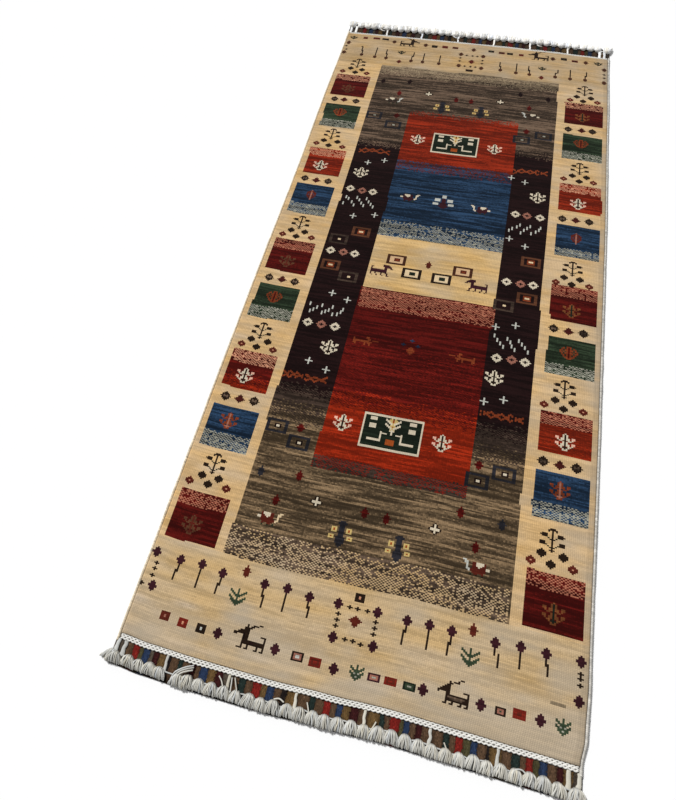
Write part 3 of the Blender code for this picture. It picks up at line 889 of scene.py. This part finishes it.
def add_knot_maps(mesh, flat, colours, in_quad, rings):
    """Gives each face its knots' colours, its place among the knots and its place in the texture."""
    corners = np.empty(len(mesh.loops), int)
    mesh.loops.foreach_get("vertex_index", corners)
    column = (flat[:, 0] / (HALF_WIDTH - EDGE_INSET) + 1) / 2 * COLUMNS
    row = (1 - flat[:, 1] / (HALF_LENGTH - EDGE_INSET)) / 2 * ROWS
    knot_map = mesh.uv_layers.new(name="Knots")
    knot_map.data.foreach_set("uv", np.stack([column[corners], row[corners]], axis=1).ravel())

    quad_rows = ROWS // in_quad
    block = colours.reshape(quad_rows, in_quad, COLUMNS, 3)
    index = np.arange(quad_rows * COLUMNS).reshape(quad_rows, COLUMNS)
    rim_quads = np.concatenate([index[0, :], index[:, -1], index[-1, ::-1], index[::-1, 0]])
    source = np.concatenate([index.ravel(), np.tile(rim_quads, rings), [0]])
    for down in range(in_quad):
        add_face_colours(mesh, f"knot_{down}", block[:, down].reshape(-1, 3)[source])

    counts = np.full(len(mesh.polygons), 4)
    counts[-1] = len(mesh.polygons[-1].vertices)
    far = np.repeat(source // COLUMNS < quad_rows * FAR_PART / PILE_LENGTH, counts)
    right = np.repeat(source % COLUMNS >= COLUMNS // 2, counts)
    x, y = flat[corners, 0], flat[corners, 1]
    u = x + HALF_WIDTH + MAP_MARGIN
    v = y + HALF_LENGTH + MAP_MARGIN
    u = np.where(far, x + HALF_WIDTH + PILE_WIDTH + 3 * MAP_MARGIN - np.where(right, HALF_WIDTH, 0), u)
    v = np.where(far, y - HALF_LENGTH + FAR_PART + MAP_MARGIN, v)
    v = np.where(far & right, v + FAR_PART + 2 * MAP_MARGIN, v)
    spread = np.stack([u, v], axis=1) / MAP_SIZE
    behind = counts[-1]
    spread[-behind:] = MAP_CORNER + MAP_CORNER_SIZE * (flat[corners[-behind:]] / HALF_LENGTH)
    mesh.uv_layers.new(name="OFBake").data.foreach_set("uv", spread.ravel())


def make_pile(colours):
    return make_cloth("rug_pile", colours, pile_finish(), PILE_KNOTS_IN_QUAD,
                      PILE_HEIGHT - FACE_INSET, PILE_WALL, faces_up=True)


def make_back(colours):
    return make_cloth("rug_back", colours, back_finish(), BACK_KNOTS_IN_QUAD,
                      FACE_INSET, BACK_WALL, faces_up=False)


# Woven ends

KILIM_YARNS = {
    "brown": (92, 70, 52),
    "ochre": (106, 82, 50),
    "red": (128, 36, 30),
    "maroon": (60, 26, 26),
    "blue": (44, 58, 86),
    "teal": (38, 50, 46),
    "olive": (78, 72, 48),
    "dark": (34, 28, 27),
    "grey": (86, 76, 66),
}

# Stripes of the woven ends: where each stops, in millimetres from the left edge of the pile
STRIPES = (
    (12, "grey"), (30, "brown"), (42, "red"), (50, "olive"), (63, "blue"), (70, "grey"), (80, "maroon"),
    (95, "ochre"), (103, "dark"), (117, "brown"), (125, "teal"), (138, "brown"), (150, "maroon"),
    (158, "brown"), (173, "blue"), (187, "ochre"), (200, "maroon"), (218, "grey"), (230, "brown"),
    (242, "teal"), (255, "brown"), (270, "red"), (280, "ochre"), (293, "blue"), (305, "brown"),
    (315, "dark"), (336, "ochre"), (355, "brown"), (365, "teal"), (380, "brown"), (392, "red"),
    (402, "brown"), (412, "blue"), (425, "ochre"), (440, "maroon"), (455, "brown"), (475, "ochre"),
    (483, "teal"), (492, "brown"), (508, "red"), (515, "olive"), (525, "blue"), (535, "brown"),
    (545, "maroon"), (565, "brown"), (580, "brown"), (590, "teal"), (600, "brown"), (612, "red"),
    (625, "olive"), (635, "blue"), (650, "brown"), (655, "dark"), (674, "ochre"), (690, "brown"),
    (703, "teal"), (712, "brown"), (723, "red"), (733, "olive"), (745, "blue"), (760, "brown"),
    (770, "maroon"), (785, "ochre"), (820, "grey"),
)
STRIPE_SHIFT = {"near": 0, "far": -9}
STRIPE_SHADE = {"near": 0.88, "far": 0.52}
STRIPE_BLUR = 1.1
STRIPE_VARIES = 0.22
STRIPE_RISE = 0.0005
STRIPE_SINK = 0.0006
SEAM_SHADE = 0.34

# Painted shadow on the woven end under the tassels: how dark, how far beyond the netting cord it starts, and
# over how far it deepens
EDGE_SHADE = 0.22
EDGE_SHADE_START = 0.004
EDGE_SHADE_DEPTH = 0.010
RIB_PITCH = 0.0025
RIB_HEIGHT = 0.00013
KILIM_ROWS = 17
KILIM_BASE = 0.0003
KILIM_WAVES = 0.00012
KILIM_WAVE_LENGTH = 12


def stripe_places(across):
    """For places in millimetres across: which stripe, and how near its middle, from 0 to 1."""
    stops = np.array([stop for stop, _ in STRIPES], float)
    starts = np.concatenate([[-20.0], stops[:-1]])
    stripe = np.clip(np.searchsorted(stops, across), 0, len(stops) - 1)
    share = np.clip((across - starts[stripe]) / (stops[stripe] - starts[stripe]), 0, 1)
    return stripe, np.sin(math.pi * share) ** 0.5


def make_kilim(end):
    """The flat-woven end: weft ribs over the warps, in narrow stripes that stand up a little."""
    sign = END_SIGNS[end]
    reach = HALF_WIDTH + 2 * SELVEDGE_RADIUS
    start = HALF_LENGTH + CHAIN_VISIBLE
    stop = HALF_LENGTH + CHAIN_OUT + GAP + KILIM_DEPTH[end]
    columns = 2 * round(2 * reach / RIB_PITCH) + 1
    lines = sorted(sign * np.linspace(start, stop, KILIM_ROWS), reverse=True)
    across, along = np.meshgrid(np.linspace(-reach, reach, columns), lines)
    x, y = uneven(across, along)
    rng = np.random.default_rng(SEEDS["kilim"] + sign)
    rib = RIB_HEIGHT * (2 * (np.arange(columns) % 2) - 1)[None, :]
    swell = KILIM_WAVES * noise_along(rng, KILIM_ROWS, columns, KILIM_WAVE_LENGTH)
    rise = STRIPE_RISE * stripe_places((across + HALF_WIDTH) * 1000 + STRIPE_SHIFT[end])[1]
    top = KILIM_HEIGHT - STRIPE_SINK + rise + rib + swell
    points, (quads,) = slab(x, y, top, KILIM_BASE - rib + 0.3 * swell)

    middle = points[quads].mean(axis=1)
    place = (middle[:, 0] - PILE_MIDDLE.x + HALF_WIDTH) * 1000 + STRIPE_SHIFT[end]
    place += STRIPE_BLUR * rng.uniform(-1, 1, len(quads))
    stripe, raised = stripe_places(place)
    colours = np.array([srgb(*KILIM_YARNS[yarn]) for _, yarn in STRIPES])
    shade = STRIPE_SHADE[end] * (SEAM_SHADE + (1 - SEAM_SHADE) * raised)
    # Painted shadow under the tassels, darker towards the woven end's outer edge
    beyond_cord = abs(middle[:, 1] - PILE_MIDDLE.y) - abs(cord_line(end))
    out = (beyond_cord - EDGE_SHADE_START) / EDGE_SHADE_DEPTH
    shade *= 1 - (1 - EDGE_SHADE) * np.clip(out, 0, 1)
    shade *= np.exp(STRIPE_VARIES * rng.standard_normal(len(quads)))
    shape = Shape()
    shape.add(points, (quads,), colours[stripe] * shade[:, None])
    return shape.make("striped_end_" + end, kilim_finish())


# White twined chains and edge cords

CHAIN_CORDS = 3
CHAIN_SPACING = 0.0031
CHAIN_RADIUS = 0.00142
CHAIN_SWAY = 0.00075
CHAIN_PITCH = 0.0080
CHAIN_START = 0.0017
CHAIN_LEVEL = 0.0041
CHAIN_BASE = 0.0031
CHAIN_STRAYS = 0.0003
CHAIN_LEVEL_VARIES = 0.0002
CHAIN_THICKNESS_VARIES = 0.08
CHAIN_STEPS_IN_PLY = 6
CHAIN_INSET = 0.0015
CHAIN_COTTON = (226, 224, 218)
GROUND_INSET = 0.001
GROUND_COLUMNS = 161
GROUND_LEVEL = 0.0001
GROUND_TINT = (0.50, 0.48, 0.47)
EDGE_WRAP = 0.0028
EDGE_SIDES = 8
EDGE_STEPS_IN_WRAP = 4
EDGE_STRAYS = 0.0003
EDGE_THICKNESS = 0.91
EDGE_THICKNESS_VARIES = 0.05
EDGE_TONE_VARIES = 0.12
EDGE_WOOL = {"left": (210, 196, 172), "right": (194, 190, 182)}


def make_chain(end):
    """Plied cords that sway against each other, over a low ground."""
    sign = END_SIGNS[end]
    rng = np.random.default_rng(SEEDS["chain"] + sign)
    shape = Shape()
    steps = round(PILE_WIDTH / PLY_PITCH * CHAIN_STEPS_IN_PLY)
    across = np.linspace(-HALF_WIDTH + CHAIN_INSET, HALF_WIDTH - CHAIN_INSET, steps)
    first = HALF_LENGTH + CHAIN_START
    for number in range(CHAIN_CORDS):
        sway = CHAIN_SWAY * np.sin(2 * math.pi * across / CHAIN_PITCH + math.pi * number)
        stray = CHAIN_STRAYS * waves(rng, steps, 60)
        x, y = uneven(across, sign * (first + CHAIN_SPACING * number + sway + stray))
        z = CHAIN_LEVEL + CHAIN_LEVEL_VARIES * waves(rng, steps, 30)
        radius = CHAIN_RADIUS * (1 + CHAIN_THICKNESS_VARIES * waves(rng, steps, 25))
        shape.add(*tube(x, y, z, radius))
    ground = (HALF_LENGTH + 2 * GAP, HALF_LENGTH + CHAIN_VISIBLE - GAP)
    lines = sorted((sign * line for line in ground), reverse=True)
    columns = np.linspace(-HALF_WIDTH + GROUND_INSET, HALF_WIDTH - GROUND_INSET, GROUND_COLUMNS)
    x, y = uneven(*np.meshgrid(columns, lines))
    shape.add(*slab(x, y, np.full_like(x, CHAIN_BASE), np.full_like(x, GROUND_LEVEL)), GROUND_TINT)
    return shape.make("twined_chain_" + end, cotton_finish("white_cotton", CHAIN_COTTON))


def make_edge_cord(side):
    """The overcast cord along one edge: wraps of thick wool round a core."""
    sign = SIDE_SIGNS[side]
    reach = HALF_LENGTH + CHAIN_OUT
    steps = round(2 * reach / EDGE_WRAP * EDGE_STEPS_IN_WRAP)
    along = np.linspace(-reach, reach, steps)
    rng = np.random.default_rng(SEEDS["edge"] + sign)
    x, y = uneven(np.full(steps, sign * HALF_WIDTH), along)
    x += sign * (GAP + SELVEDGE_RADIUS * 0.95) + EDGE_STRAYS * waves(rng, steps, 90)
    radius = SELVEDGE_RADIUS * (EDGE_THICKNESS + EDGE_THICKNESS_VARIES * waves(rng, steps, 40))
    shape = Shape()
    points, blocks = tube(x, y, radius * 1.02, radius, EDGE_SIDES, plies=1, ripple=0.07, pitch=EDGE_WRAP)
    faces = sum(len(block) for block in blocks)
    wraps = steps // EDGE_STEPS_IN_WRAP
    wrap = np.minimum(np.arange(faces) // (EDGE_SIDES * EDGE_STEPS_IN_WRAP), wraps)
    tone = np.exp(EDGE_TONE_VARIES * rng.standard_normal(wraps + 1))[wrap]
    shape.add(points, blocks, np.stack([tone, tone, tone], axis=1))
    return shape.make("edge_cord_" + side, cotton_finish("edge_wool_" + side, EDGE_WOOL[side]))


# Fringe

# Yarns of a tassel, layer by layer: how many, how far out and how dark; the inner layers are painted darker
# as painted shade between the yarns
STRANDS = ((13, 1.0, 1.0), (8, 0.70, 0.62), (4, 0.34, 0.40))
STRAND_RADIUS = 0.00130
STRAND_LENGTH = {"near": 0.0133, "far": 0.0205}
INNER_SHADE = {"near": 1.0, "far": 0.15}
STRAND_BEHIND = {"near": 0.0050, "far": 0.0078}
STRAND_POINTS = 9

# How a yarn of a tassel runs: it fans out, folds over within a share of its length, and droops
FAN_START = 0.50
FAN_SPREAD = 0.56
FAN_POWER = 2.2
FOLD_SHARE = 0.24
DROOP_EVEN = 0.10
DROOP_END = 0.62
ANGLE_VARIES = 0.3
LENGTH_VARIES = 0.05
SIDE_WAVES = 0.0007
HEIGHT_VARIES = 0.0004

# The fringes' cotton: the far fringe is painted brighter than the near one, painted light against the shade
# on its side that faces the camera.
FRINGE_COTTON = {"near": (197, 195, 187), "far": (248, 247, 244)}
TASSEL_HALF_WIDTH = 0.0122
TASSEL_RISE = {"near": 0.0070, "far": 0.0056}
BAR_HALF_WIDTH = 0.0024
CORNER_BAR_HALF_WIDTH = 0.0034
CORNER_BARS_FROM = 0.35
BAR_FLAT = 0.40
BAR_FLARE = 0.45
BAR_SWAY = 0.0006
BAR_THICKNESS_VARIES = 0.06
BAR_STEP = 0.00035
BAR_WRAP = 0.0014
NETTING_STEP = 0.0008
NETTING_SWAY = 0.0016
NETTING_WAVE = 22
NETTING_LEVEL = 0.0042
NETTING_LEVEL_VARIES = 0.0006
NETTING_RADIUS = 0.0012

# Loose cords on the fringe: thickness, then millimetres across and down from the pile's far left corner
# and height
LOOSE_CORDS = {
    "near": (
        (2.6, (114, 1841, 5), (118, 1832, 9), (126, 1825, 12), (136, 1819, 10), (146, 1815, 5)),
        (2.6, (117, 1842, 5), (121, 1834, 9), (128, 1827, 12), (137, 1822, 10), (147, 1818, 5)),
        (2.6, (120, 1842, 5), (124, 1836, 9), (131, 1829, 12), (139, 1825, 10), (147, 1822, 6)),
        (2.2, (194, 1819, 5), (200, 1824, 6), (206, 1832, 8)),
        (2.2, (217, 1816, 5), (219, 1826, 6), (221, 1838, 8)),
        (2.2, (222, 1815, 5), (227, 1825, 6), (233, 1836, 8)),
        (2.4, (296, 1829, 6), (305, 1826, 7), (314, 1829, 8)),
        (2.2, (352, 1820, 5), (356, 1828, 6), (359, 1836, 9)),
        (2.4, (470, 1819, 5), (466, 1828, 6), (461, 1836, 9)),
        (2.2, (582, 1820, 5), (587, 1828, 6), (590, 1836, 9)),
        (2.4, (690, 1834, 8), (697, 1827, 8), (706, 1826, 7), (712, 1830, 7)),
    ),
    "far": (
        (2.4, (96, -34, 8), (103, -28, 8), (111, -30, 7)),
        (2.4, (330, -36, 8), (337, -29, 8), (345, -31, 7)),
        (2.4, (588, -34, 8), (595, -29, 8), (603, -31, 7)),
    ),
}

# How long the tassels are along each end: millimetres from the left edge, then a share of their length
TASSEL_LENGTHS = {
    "near": ((0, 0.90), (105, 0.93), (125, 1.03), (260, 1.03), (320, 1.08), (800, 1.02)),
    "far": ((0, 1), (800, 1)),
}

# The size of some tassels, by their number
TASSEL_SIZES = {"near": {6: 1.18, 7: 1.12}, "far": {}}

# Tassels beside the counted ones: place across, size, lean and how far out
EXTRA_TASSELS = {"near": ((-0.4045, 0.85, math.radians(-34), -0.002),), "far": ()}

# Tassels whose places are given: number, then millimetres from the left edge. The others are spaced between.
TASSEL_PLACES = {
    "near": ((0, 7.6), (1, 29), (4, 90), (6, 127), (7, 143), (8, 165), (12, 256), (36, 792.4)),
    "far": ((0, 7.6), (36, 792.4)),
}
TASSEL_CHANNELS = {"near": 10, "far": 20}


def tassels(end):
    """Each tassel of one end: its place across the rug, its size, its lean and how far out it is."""
    numbers, places = zip(*TASSEL_PLACES[end])
    channel = TASSEL_CHANNELS[end]
    for number in range(TASSEL_COUNT):
        if number == MISSING_TASSEL[end]:
            continue
        x = np.interp(number, numbers, places) / 1000 - HALF_WIDTH + PLACE_VARIES * wobble(number, channel)
        size = TASSEL_SIZES[end].get(number, 1 + SIZE_VARIES * wobble(number, channel + 1))
        if number in (0, TASSEL_COUNT - 1):
            x += CORNER_SHIFT if number else -CORNER_SHIFT
            size = CORNER_SIZE
        lean = LEAN_VARIES * wobble(number, channel + 2)
        outward = PLACE_VARIES * wobble(number, channel + 3)
        yield x, size, lean, outward
    yield from EXTRA_TASSELS[end]


def cord_line(end):
    """The y of the netting cord in the straight layout."""
    return END_SIGNS[end] * (HALF_LENGTH + CHAIN_OUT + GAP + KILIM_DEPTH[end] - CORD_FROM_EDGE)


def cotton_tint(rng, spread=0.09):
    """A small change of tone and warmth between yarns."""
    tone = math.exp(spread * rng.standard_normal())
    warm = 0.02 * rng.standard_normal()
    return tone * (1 + warm), tone, tone * (1 - 2 * warm)


def add_strands(shape, rng, end, tassel):
    """A tassel's yarns: folded over the netting cord, packed in a dome and drooping at their ends."""
    x, size, lean, outward = tassel
    sign = END_SIGNS[end]
    full_length = STRAND_LENGTH[end] * size ** 0.5
    length_here = np.interp((x + HALF_WIDTH) * 1000, *zip(*TASSEL_LENGTHS[end]))
    start = cord_line(end) + sign * outward
    t = np.linspace(0, 1, STRAND_POINTS)
    low = KILIM_HEIGHT + STRAND_RADIUS
    for count, share, shade in STRANDS:
        for number in range(count):
            angle = math.pi * (number + 0.5 + ANGLE_VARIES * rng.uniform(-1, 1)) / count
            side = share * math.cos(angle)
            rise = share * math.sin(angle) ** 0.7
            length = full_length * (1 + LENGTH_VARIES * rng.standard_normal()) * length_here
            reach = STRAND_BEHIND[end] * size * math.sqrt(1 - 0.8 * side * side)
            fan = FAN_START + FAN_SPREAD * (1 - (1 - t) ** FAN_POWER)
            across = x + TASSEL_HALF_WIDTH * size * side * fan + math.tan(lean) * length * t
            across = across + SIDE_WAVES * rng.standard_normal() * np.sin(t * math.pi * 1.7)
            fold = np.clip(t / FOLD_SHARE, 0, 1)
            arch = np.sqrt(fold * (2 - fold)) * (1 - DROOP_EVEN * t - DROOP_END * t ** 4)
            height = low + TASSEL_RISE[end] * size * rise * arch + HEIGHT_VARIES * rng.standard_normal() * t
            place_x, place_y = uneven(across, start + sign * (-reach + (length + reach) * t))
            radius = STRAND_RADIUS * rng.uniform(0.85, 1.15) * (1 - 0.1 * t ** 6)
            # The inner layers' darker tint is painted shade, softer at the far end
            tint = shade ** INNER_SHADE[end] * np.array(cotton_tint(rng))
            strand = tube(place_x, place_y, np.maximum(height, low), radius, sides=6, ripple=0.10)
            shape.add(*strand, tint)


def add_bars(shape, rng, end):
    """The white wrapped bars that cross the woven end."""
    sign = END_SIGNS[end]
    start = HALF_LENGTH + CHAIN_VISIBLE - GAP
    stop = abs(cord_line(end))
    steps = round((stop - start) / BAR_STEP)
    for across in BARS[end]:
        line = sign * np.linspace(start, stop, steps)
        x, y = uneven(np.full(steps, across) + BAR_SWAY * waves(rng, steps, 20), line)
        z = np.full(steps, KILIM_HEIGHT + BAR_HALF_WIDTH * BAR_FLAT)
        half = CORNER_BAR_HALF_WIDTH if abs(across) > CORNER_BARS_FROM else BAR_HALF_WIDTH
        radius = half * (1 + BAR_THICKNESS_VARIES * waves(rng, steps, 12))
        radius *= 1 + BAR_FLARE * np.linspace(0, 1, steps) ** 3
        bar = tube(x, y, z, radius, sides=12, plies=1, ripple=0.10, pitch=BAR_WRAP, flat=BAR_FLAT)
        shape.add(*bar, cotton_tint(rng))


def add_netting_cord(shape, rng, end):
    """The plied cord that the tassels are knotted on, slack between them."""
    steps = round(PILE_WIDTH / NETTING_STEP)
    across = np.linspace(-HALF_WIDTH, HALF_WIDTH, steps)
    line = cord_line(end) + NETTING_SWAY * waves(rng, steps, NETTING_WAVE)
    x, y = uneven(across, line)
    z = NETTING_LEVEL + NETTING_LEVEL_VARIES * waves(rng, steps, NETTING_WAVE)
    shape.add(*tube(x, y, z, NETTING_RADIUS), cotton_tint(rng))


def add_loose_cords(shape, rng, end):
    """Loose ends that lie over the fringe."""
    for thickness, *places in LOOSE_CORDS[end]:
        line = smooth_line(places, 12) / 1000
        x = line[:, 0] - HALF_WIDTH + PILE_MIDDLE.x
        y = HALF_LENGTH - line[:, 1] + PILE_MIDDLE.y
        cord = tube(x, y, line[:, 2], thickness / 2000, ripple=0.12, flat=0.8)
        shape.add(*cord, cotton_tint(rng, 0.04))


def make_fringe(end):
    rng = np.random.default_rng(SEEDS["fringe"] + END_SIGNS[end])
    shape = Shape()
    for tassel in tassels(end):
        add_strands(shape, rng, end, tassel)
    add_bars(shape, rng, end)
    add_netting_cord(shape, rng, end)
    add_loose_cords(shape, rng, end)
    return shape.make("knotted_fringe_" + end, cotton_finish("fringe_cotton_" + end, FRINGE_COTTON[end]))


# Materials

MEAN_TUFT = 0.72
WEFT_PITCH = 0.0012


class Nodes:
    """Short forms for the nodes that the materials share."""

    def __init__(self, name, roughness=1.0, sheen=0.02, specular=0.05):
        self.material = bpy.data.materials.new(name)
        self.material.use_nodes = True
        self.tree = self.material.node_tree
        self.shader = self.tree.nodes["Principled BSDF"]
        self.shader.inputs["Roughness"].default_value = roughness
        self.shader.inputs["Sheen Weight"].default_value = sheen
        self.shader.inputs["Sheen Roughness"].default_value = 0.6
        self.shader.inputs["Specular IOR Level"].default_value = specular

    def add(self, kind, **settings):
        node = self.tree.nodes.new(kind)
        for key, value in settings.items():
            setattr(node, key, value)
        return node

    def link(self, value, socket):
        if isinstance(value, bpy.types.NodeSocket):
            self.tree.links.new(value, socket)
        else:
            socket.default_value = value

    def math(self, operation, a, b=0.0, c=0.0):
        node = self.add("ShaderNodeMath", operation=operation)
        for value, socket in zip((a, b, c), node.inputs):
            self.link(value, socket)
        return node.outputs[0]

    def mix(self, factor, a, b, blend="MIX"):
        node = self.add("ShaderNodeMix", data_type="RGBA", blend_type=blend)
        self.link(factor, node.inputs[0])
        self.link(a, node.inputs[6])
        self.link(b, node.inputs[7])
        return node.outputs[2]

    def grey(self, value):
        node = self.add("ShaderNodeCombineColor")
        for socket in node.inputs[:3]:
            self.link(value, socket)
        return node.outputs[0]

    def shaded(self, colour, shade):
        """A colour made darker or lighter by a number."""
        return self.mix(1.0, colour, self.grey(shade), "MULTIPLY")

    def attribute(self, name):
        return self.add("ShaderNodeAttribute", attribute_name=name).outputs["Color"]

    def place(self):
        return self.add("ShaderNodeTexCoord").outputs["Object"]

    def noise(self, vector, scale, detail=2.0):
        node = self.add("ShaderNodeTexNoise")
        self.link(vector, node.inputs["Vector"])
        node.inputs["Scale"].default_value = scale
        node.inputs["Detail"].default_value = detail
        return node.outputs["Fac"]

    def bump(self, height, strength, distance):
        node = self.add("ShaderNodeBump")
        node.inputs["Strength"].default_value = strength
        node.inputs["Distance"].default_value = distance
        self.link(height, node.inputs["Height"])
        self.link(node.outputs[0], self.shader.inputs["Normal"])


def knot_colour(nodes, v, in_quad):
    """The colour of the knot at a place, out of the few knots that a face holds."""
    share = nodes.math("FRACT", nodes.math("DIVIDE", v, float(in_quad)))
    colour = nodes.attribute("knot_0")
    for number in range(1, in_quad):
        beyond = nodes.math("GREATER_THAN", share, number / in_quad)
        colour = nodes.mix(beyond, colour, nodes.attribute(f"knot_{number}"))
    return colour


def knotted_finish(name, in_quad, valley_shade, fibres, height, distance):
    """Rows of knots: each knot's own colour, rounded, with loose fibre and painted shade where the knots
    meet.
    """
    nodes = Nodes(name)
    place = nodes.add("ShaderNodeUVMap", uv_map="Knots").outputs[0]
    split = nodes.add("ShaderNodeSeparateXYZ")
    nodes.link(place, split.inputs[0])
    u, v = split.outputs[0], split.outputs[1]
    round_u = nodes.math("SINE", nodes.math("MULTIPLY", nodes.math("FRACT", u), math.pi))
    round_v = nodes.math("SINE", nodes.math("MULTIPLY", nodes.math("FRACT", v), math.pi))
    tuft = nodes.math("POWER", nodes.math("MULTIPLY", round_u, round_v), 0.5)
    fibre = nodes.noise(place, scale=2.2, detail=3.0)
    # Painted shade: each knot's colour darker towards its edges, lighter on its rounded top
    shade = nodes.math("MULTIPLY_ADD", tuft, valley_shade, 1 - MEAN_TUFT * valley_shade - fibres / 2)
    shade = nodes.math("MULTIPLY_ADD", fibre, fibres, shade)
    nodes.link(nodes.shaded(knot_colour(nodes, v, in_quad), shade), nodes.shader.inputs["Base Color"])
    nodes.bump(nodes.math("ADD", fibre, tuft), height, distance)
    return nodes.material


def pile_finish():
    return knotted_finish("wool_knots", PILE_KNOTS_IN_QUAD,
                          valley_shade=0.20, fibres=0.30, height=0.5, distance=0.0006)


def back_finish():
    return knotted_finish("wool_knots_behind", BACK_KNOTS_IN_QUAD,
                          valley_shade=0.45, fibres=0.12, height=0.7, distance=0.0005)


def kilim_finish():
    """Flat-woven wool: the stripe's colour with its painted shade, and close rows of weft, lighter on their
    crests and darker in the grooves as painted shade.
    """
    nodes = Nodes("wool_weft")
    place = nodes.place()
    split = nodes.add("ShaderNodeSeparateXYZ")
    nodes.link(place, split.inputs[0])
    weft = nodes.math("SINE", nodes.math("MULTIPLY", split.outputs[1], 2 * math.pi / WEFT_PITCH))
    fibre = nodes.noise(place, scale=700.0, detail=3.0)
    # Painted shade: weft crests lighter, grooves darker
    shade = nodes.math("MULTIPLY_ADD", weft, 0.10, 0.82)
    shade = nodes.math("MULTIPLY_ADD", fibre, 0.36, shade)
    nodes.link(nodes.shaded(nodes.attribute("tint"), shade), nodes.shader.inputs["Base Color"])
    nodes.bump(nodes.math("ADD", weft, fibre), strength=0.4, distance=0.0003)
    return nodes.material


def cotton_finish(name, colour):
    """Spun yarn: its own colour, a tint for each yarn that also holds the tassels' painted shade, and fine
    fibre.
    """
    nodes = Nodes(name)
    place = nodes.place()
    fibre = nodes.noise(place, scale=1100.0, detail=3.0)
    soil = nodes.noise(place, scale=60.0)
    shade = nodes.math("MULTIPLY_ADD", fibre, 0.22, 0.80)
    shade = nodes.math("MULTIPLY_ADD", soil, 0.18, shade)
    yarn = nodes.mix(1.0, nodes.attribute("tint"), (*srgb(*colour), 1), "MULTIPLY")
    nodes.link(nodes.shaded(yarn, shade), nodes.shader.inputs["Base Color"])
    nodes.bump(fibre, strength=0.4, distance=0.0004)
    return nodes.material


# Stage

FLOOR_REACH = 12
FLOOR_LEVEL = -0.0003
FLOOR_CORNERS = ((-1, -1), (1, -1), (1, 1), (-1, 1))
FLOOR_COLOUR = (0.97, 0.97, 0.97, 1)
SKY_COLOUR = (1, 1, 1, 1)
SKY_STRENGTH = 0.27
SUN_STRENGTH = 3.50
SUN_WIDTH = math.radians(9)
SUN_TURN = (math.radians(-28), math.radians(-39), 0)


def make_stage():
    nodes = Nodes("floor", sheen=0.0, specular=0.0)
    nodes.shader.inputs["Base Color"].default_value = FLOOR_COLOUR
    corners = [(x * FLOOR_REACH, y * FLOOR_REACH, FLOOR_LEVEL) for x, y in FLOOR_CORNERS]
    floor = add_mesh("floor", corners, [(0, 1, 2, 3)], nodes.material, smooth=False)
    floor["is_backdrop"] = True
    world = bpy.data.worlds.new("studio")
    bpy.context.scene.world = world
    world.use_nodes = True
    background = world.node_tree.nodes["Background"]
    background.inputs["Color"].default_value = SKY_COLOUR
    background.inputs["Strength"].default_value = SKY_STRENGTH
    sun_data = bpy.data.lights.new("soft_light", "SUN")
    sun_data.energy = SUN_STRENGTH
    sun_data.angle = SUN_WIDTH
    sun = bpy.data.objects.new("soft_light", sun_data)
    sun.rotation_euler = SUN_TURN
    bpy.context.scene.collection.objects.link(sun)
    bpy.context.scene.view_settings.view_transform = "Standard"


def make_camera():
    data = bpy.data.cameras.new("camera")
    data.lens = CAMERA_LENS
    data.clip_start = 0.01
    camera = bpy.data.objects.new("camera", data)
    camera.location = CAMERA_PLACE
    camera.rotation_euler = CAMERA_TURN
    bpy.context.scene.collection.objects.link(camera)
    bpy.context.scene.camera = camera


def dress(obj, node):
    """Puts a piece on the rug in place of its plain solid."""
    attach(obj, "root")
    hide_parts(node)
    return obj


def main():
    make_camera()
    make_stage()
    colours = knot_colours(lay_knots())
    pile = dress(make_pile(colours), "carpet_pile")
    back = dress(make_back(colours), "carpet_pile")
    for side in SIDE_SIGNS:
        dress(make_edge_cord(side), "selvedge_" + side)
    for end in END_SIGNS:
        dress(make_chain(end), "chain_" + end)
        kilim = dress(make_kilim(end), "kilim_" + end)
        fringe = dress(make_fringe(end), "fringe_" + end)


main()

({name: [list(corner) for corner in box]
           for name, box in (("cad", CAD_BOX), ("visual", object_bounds()))})
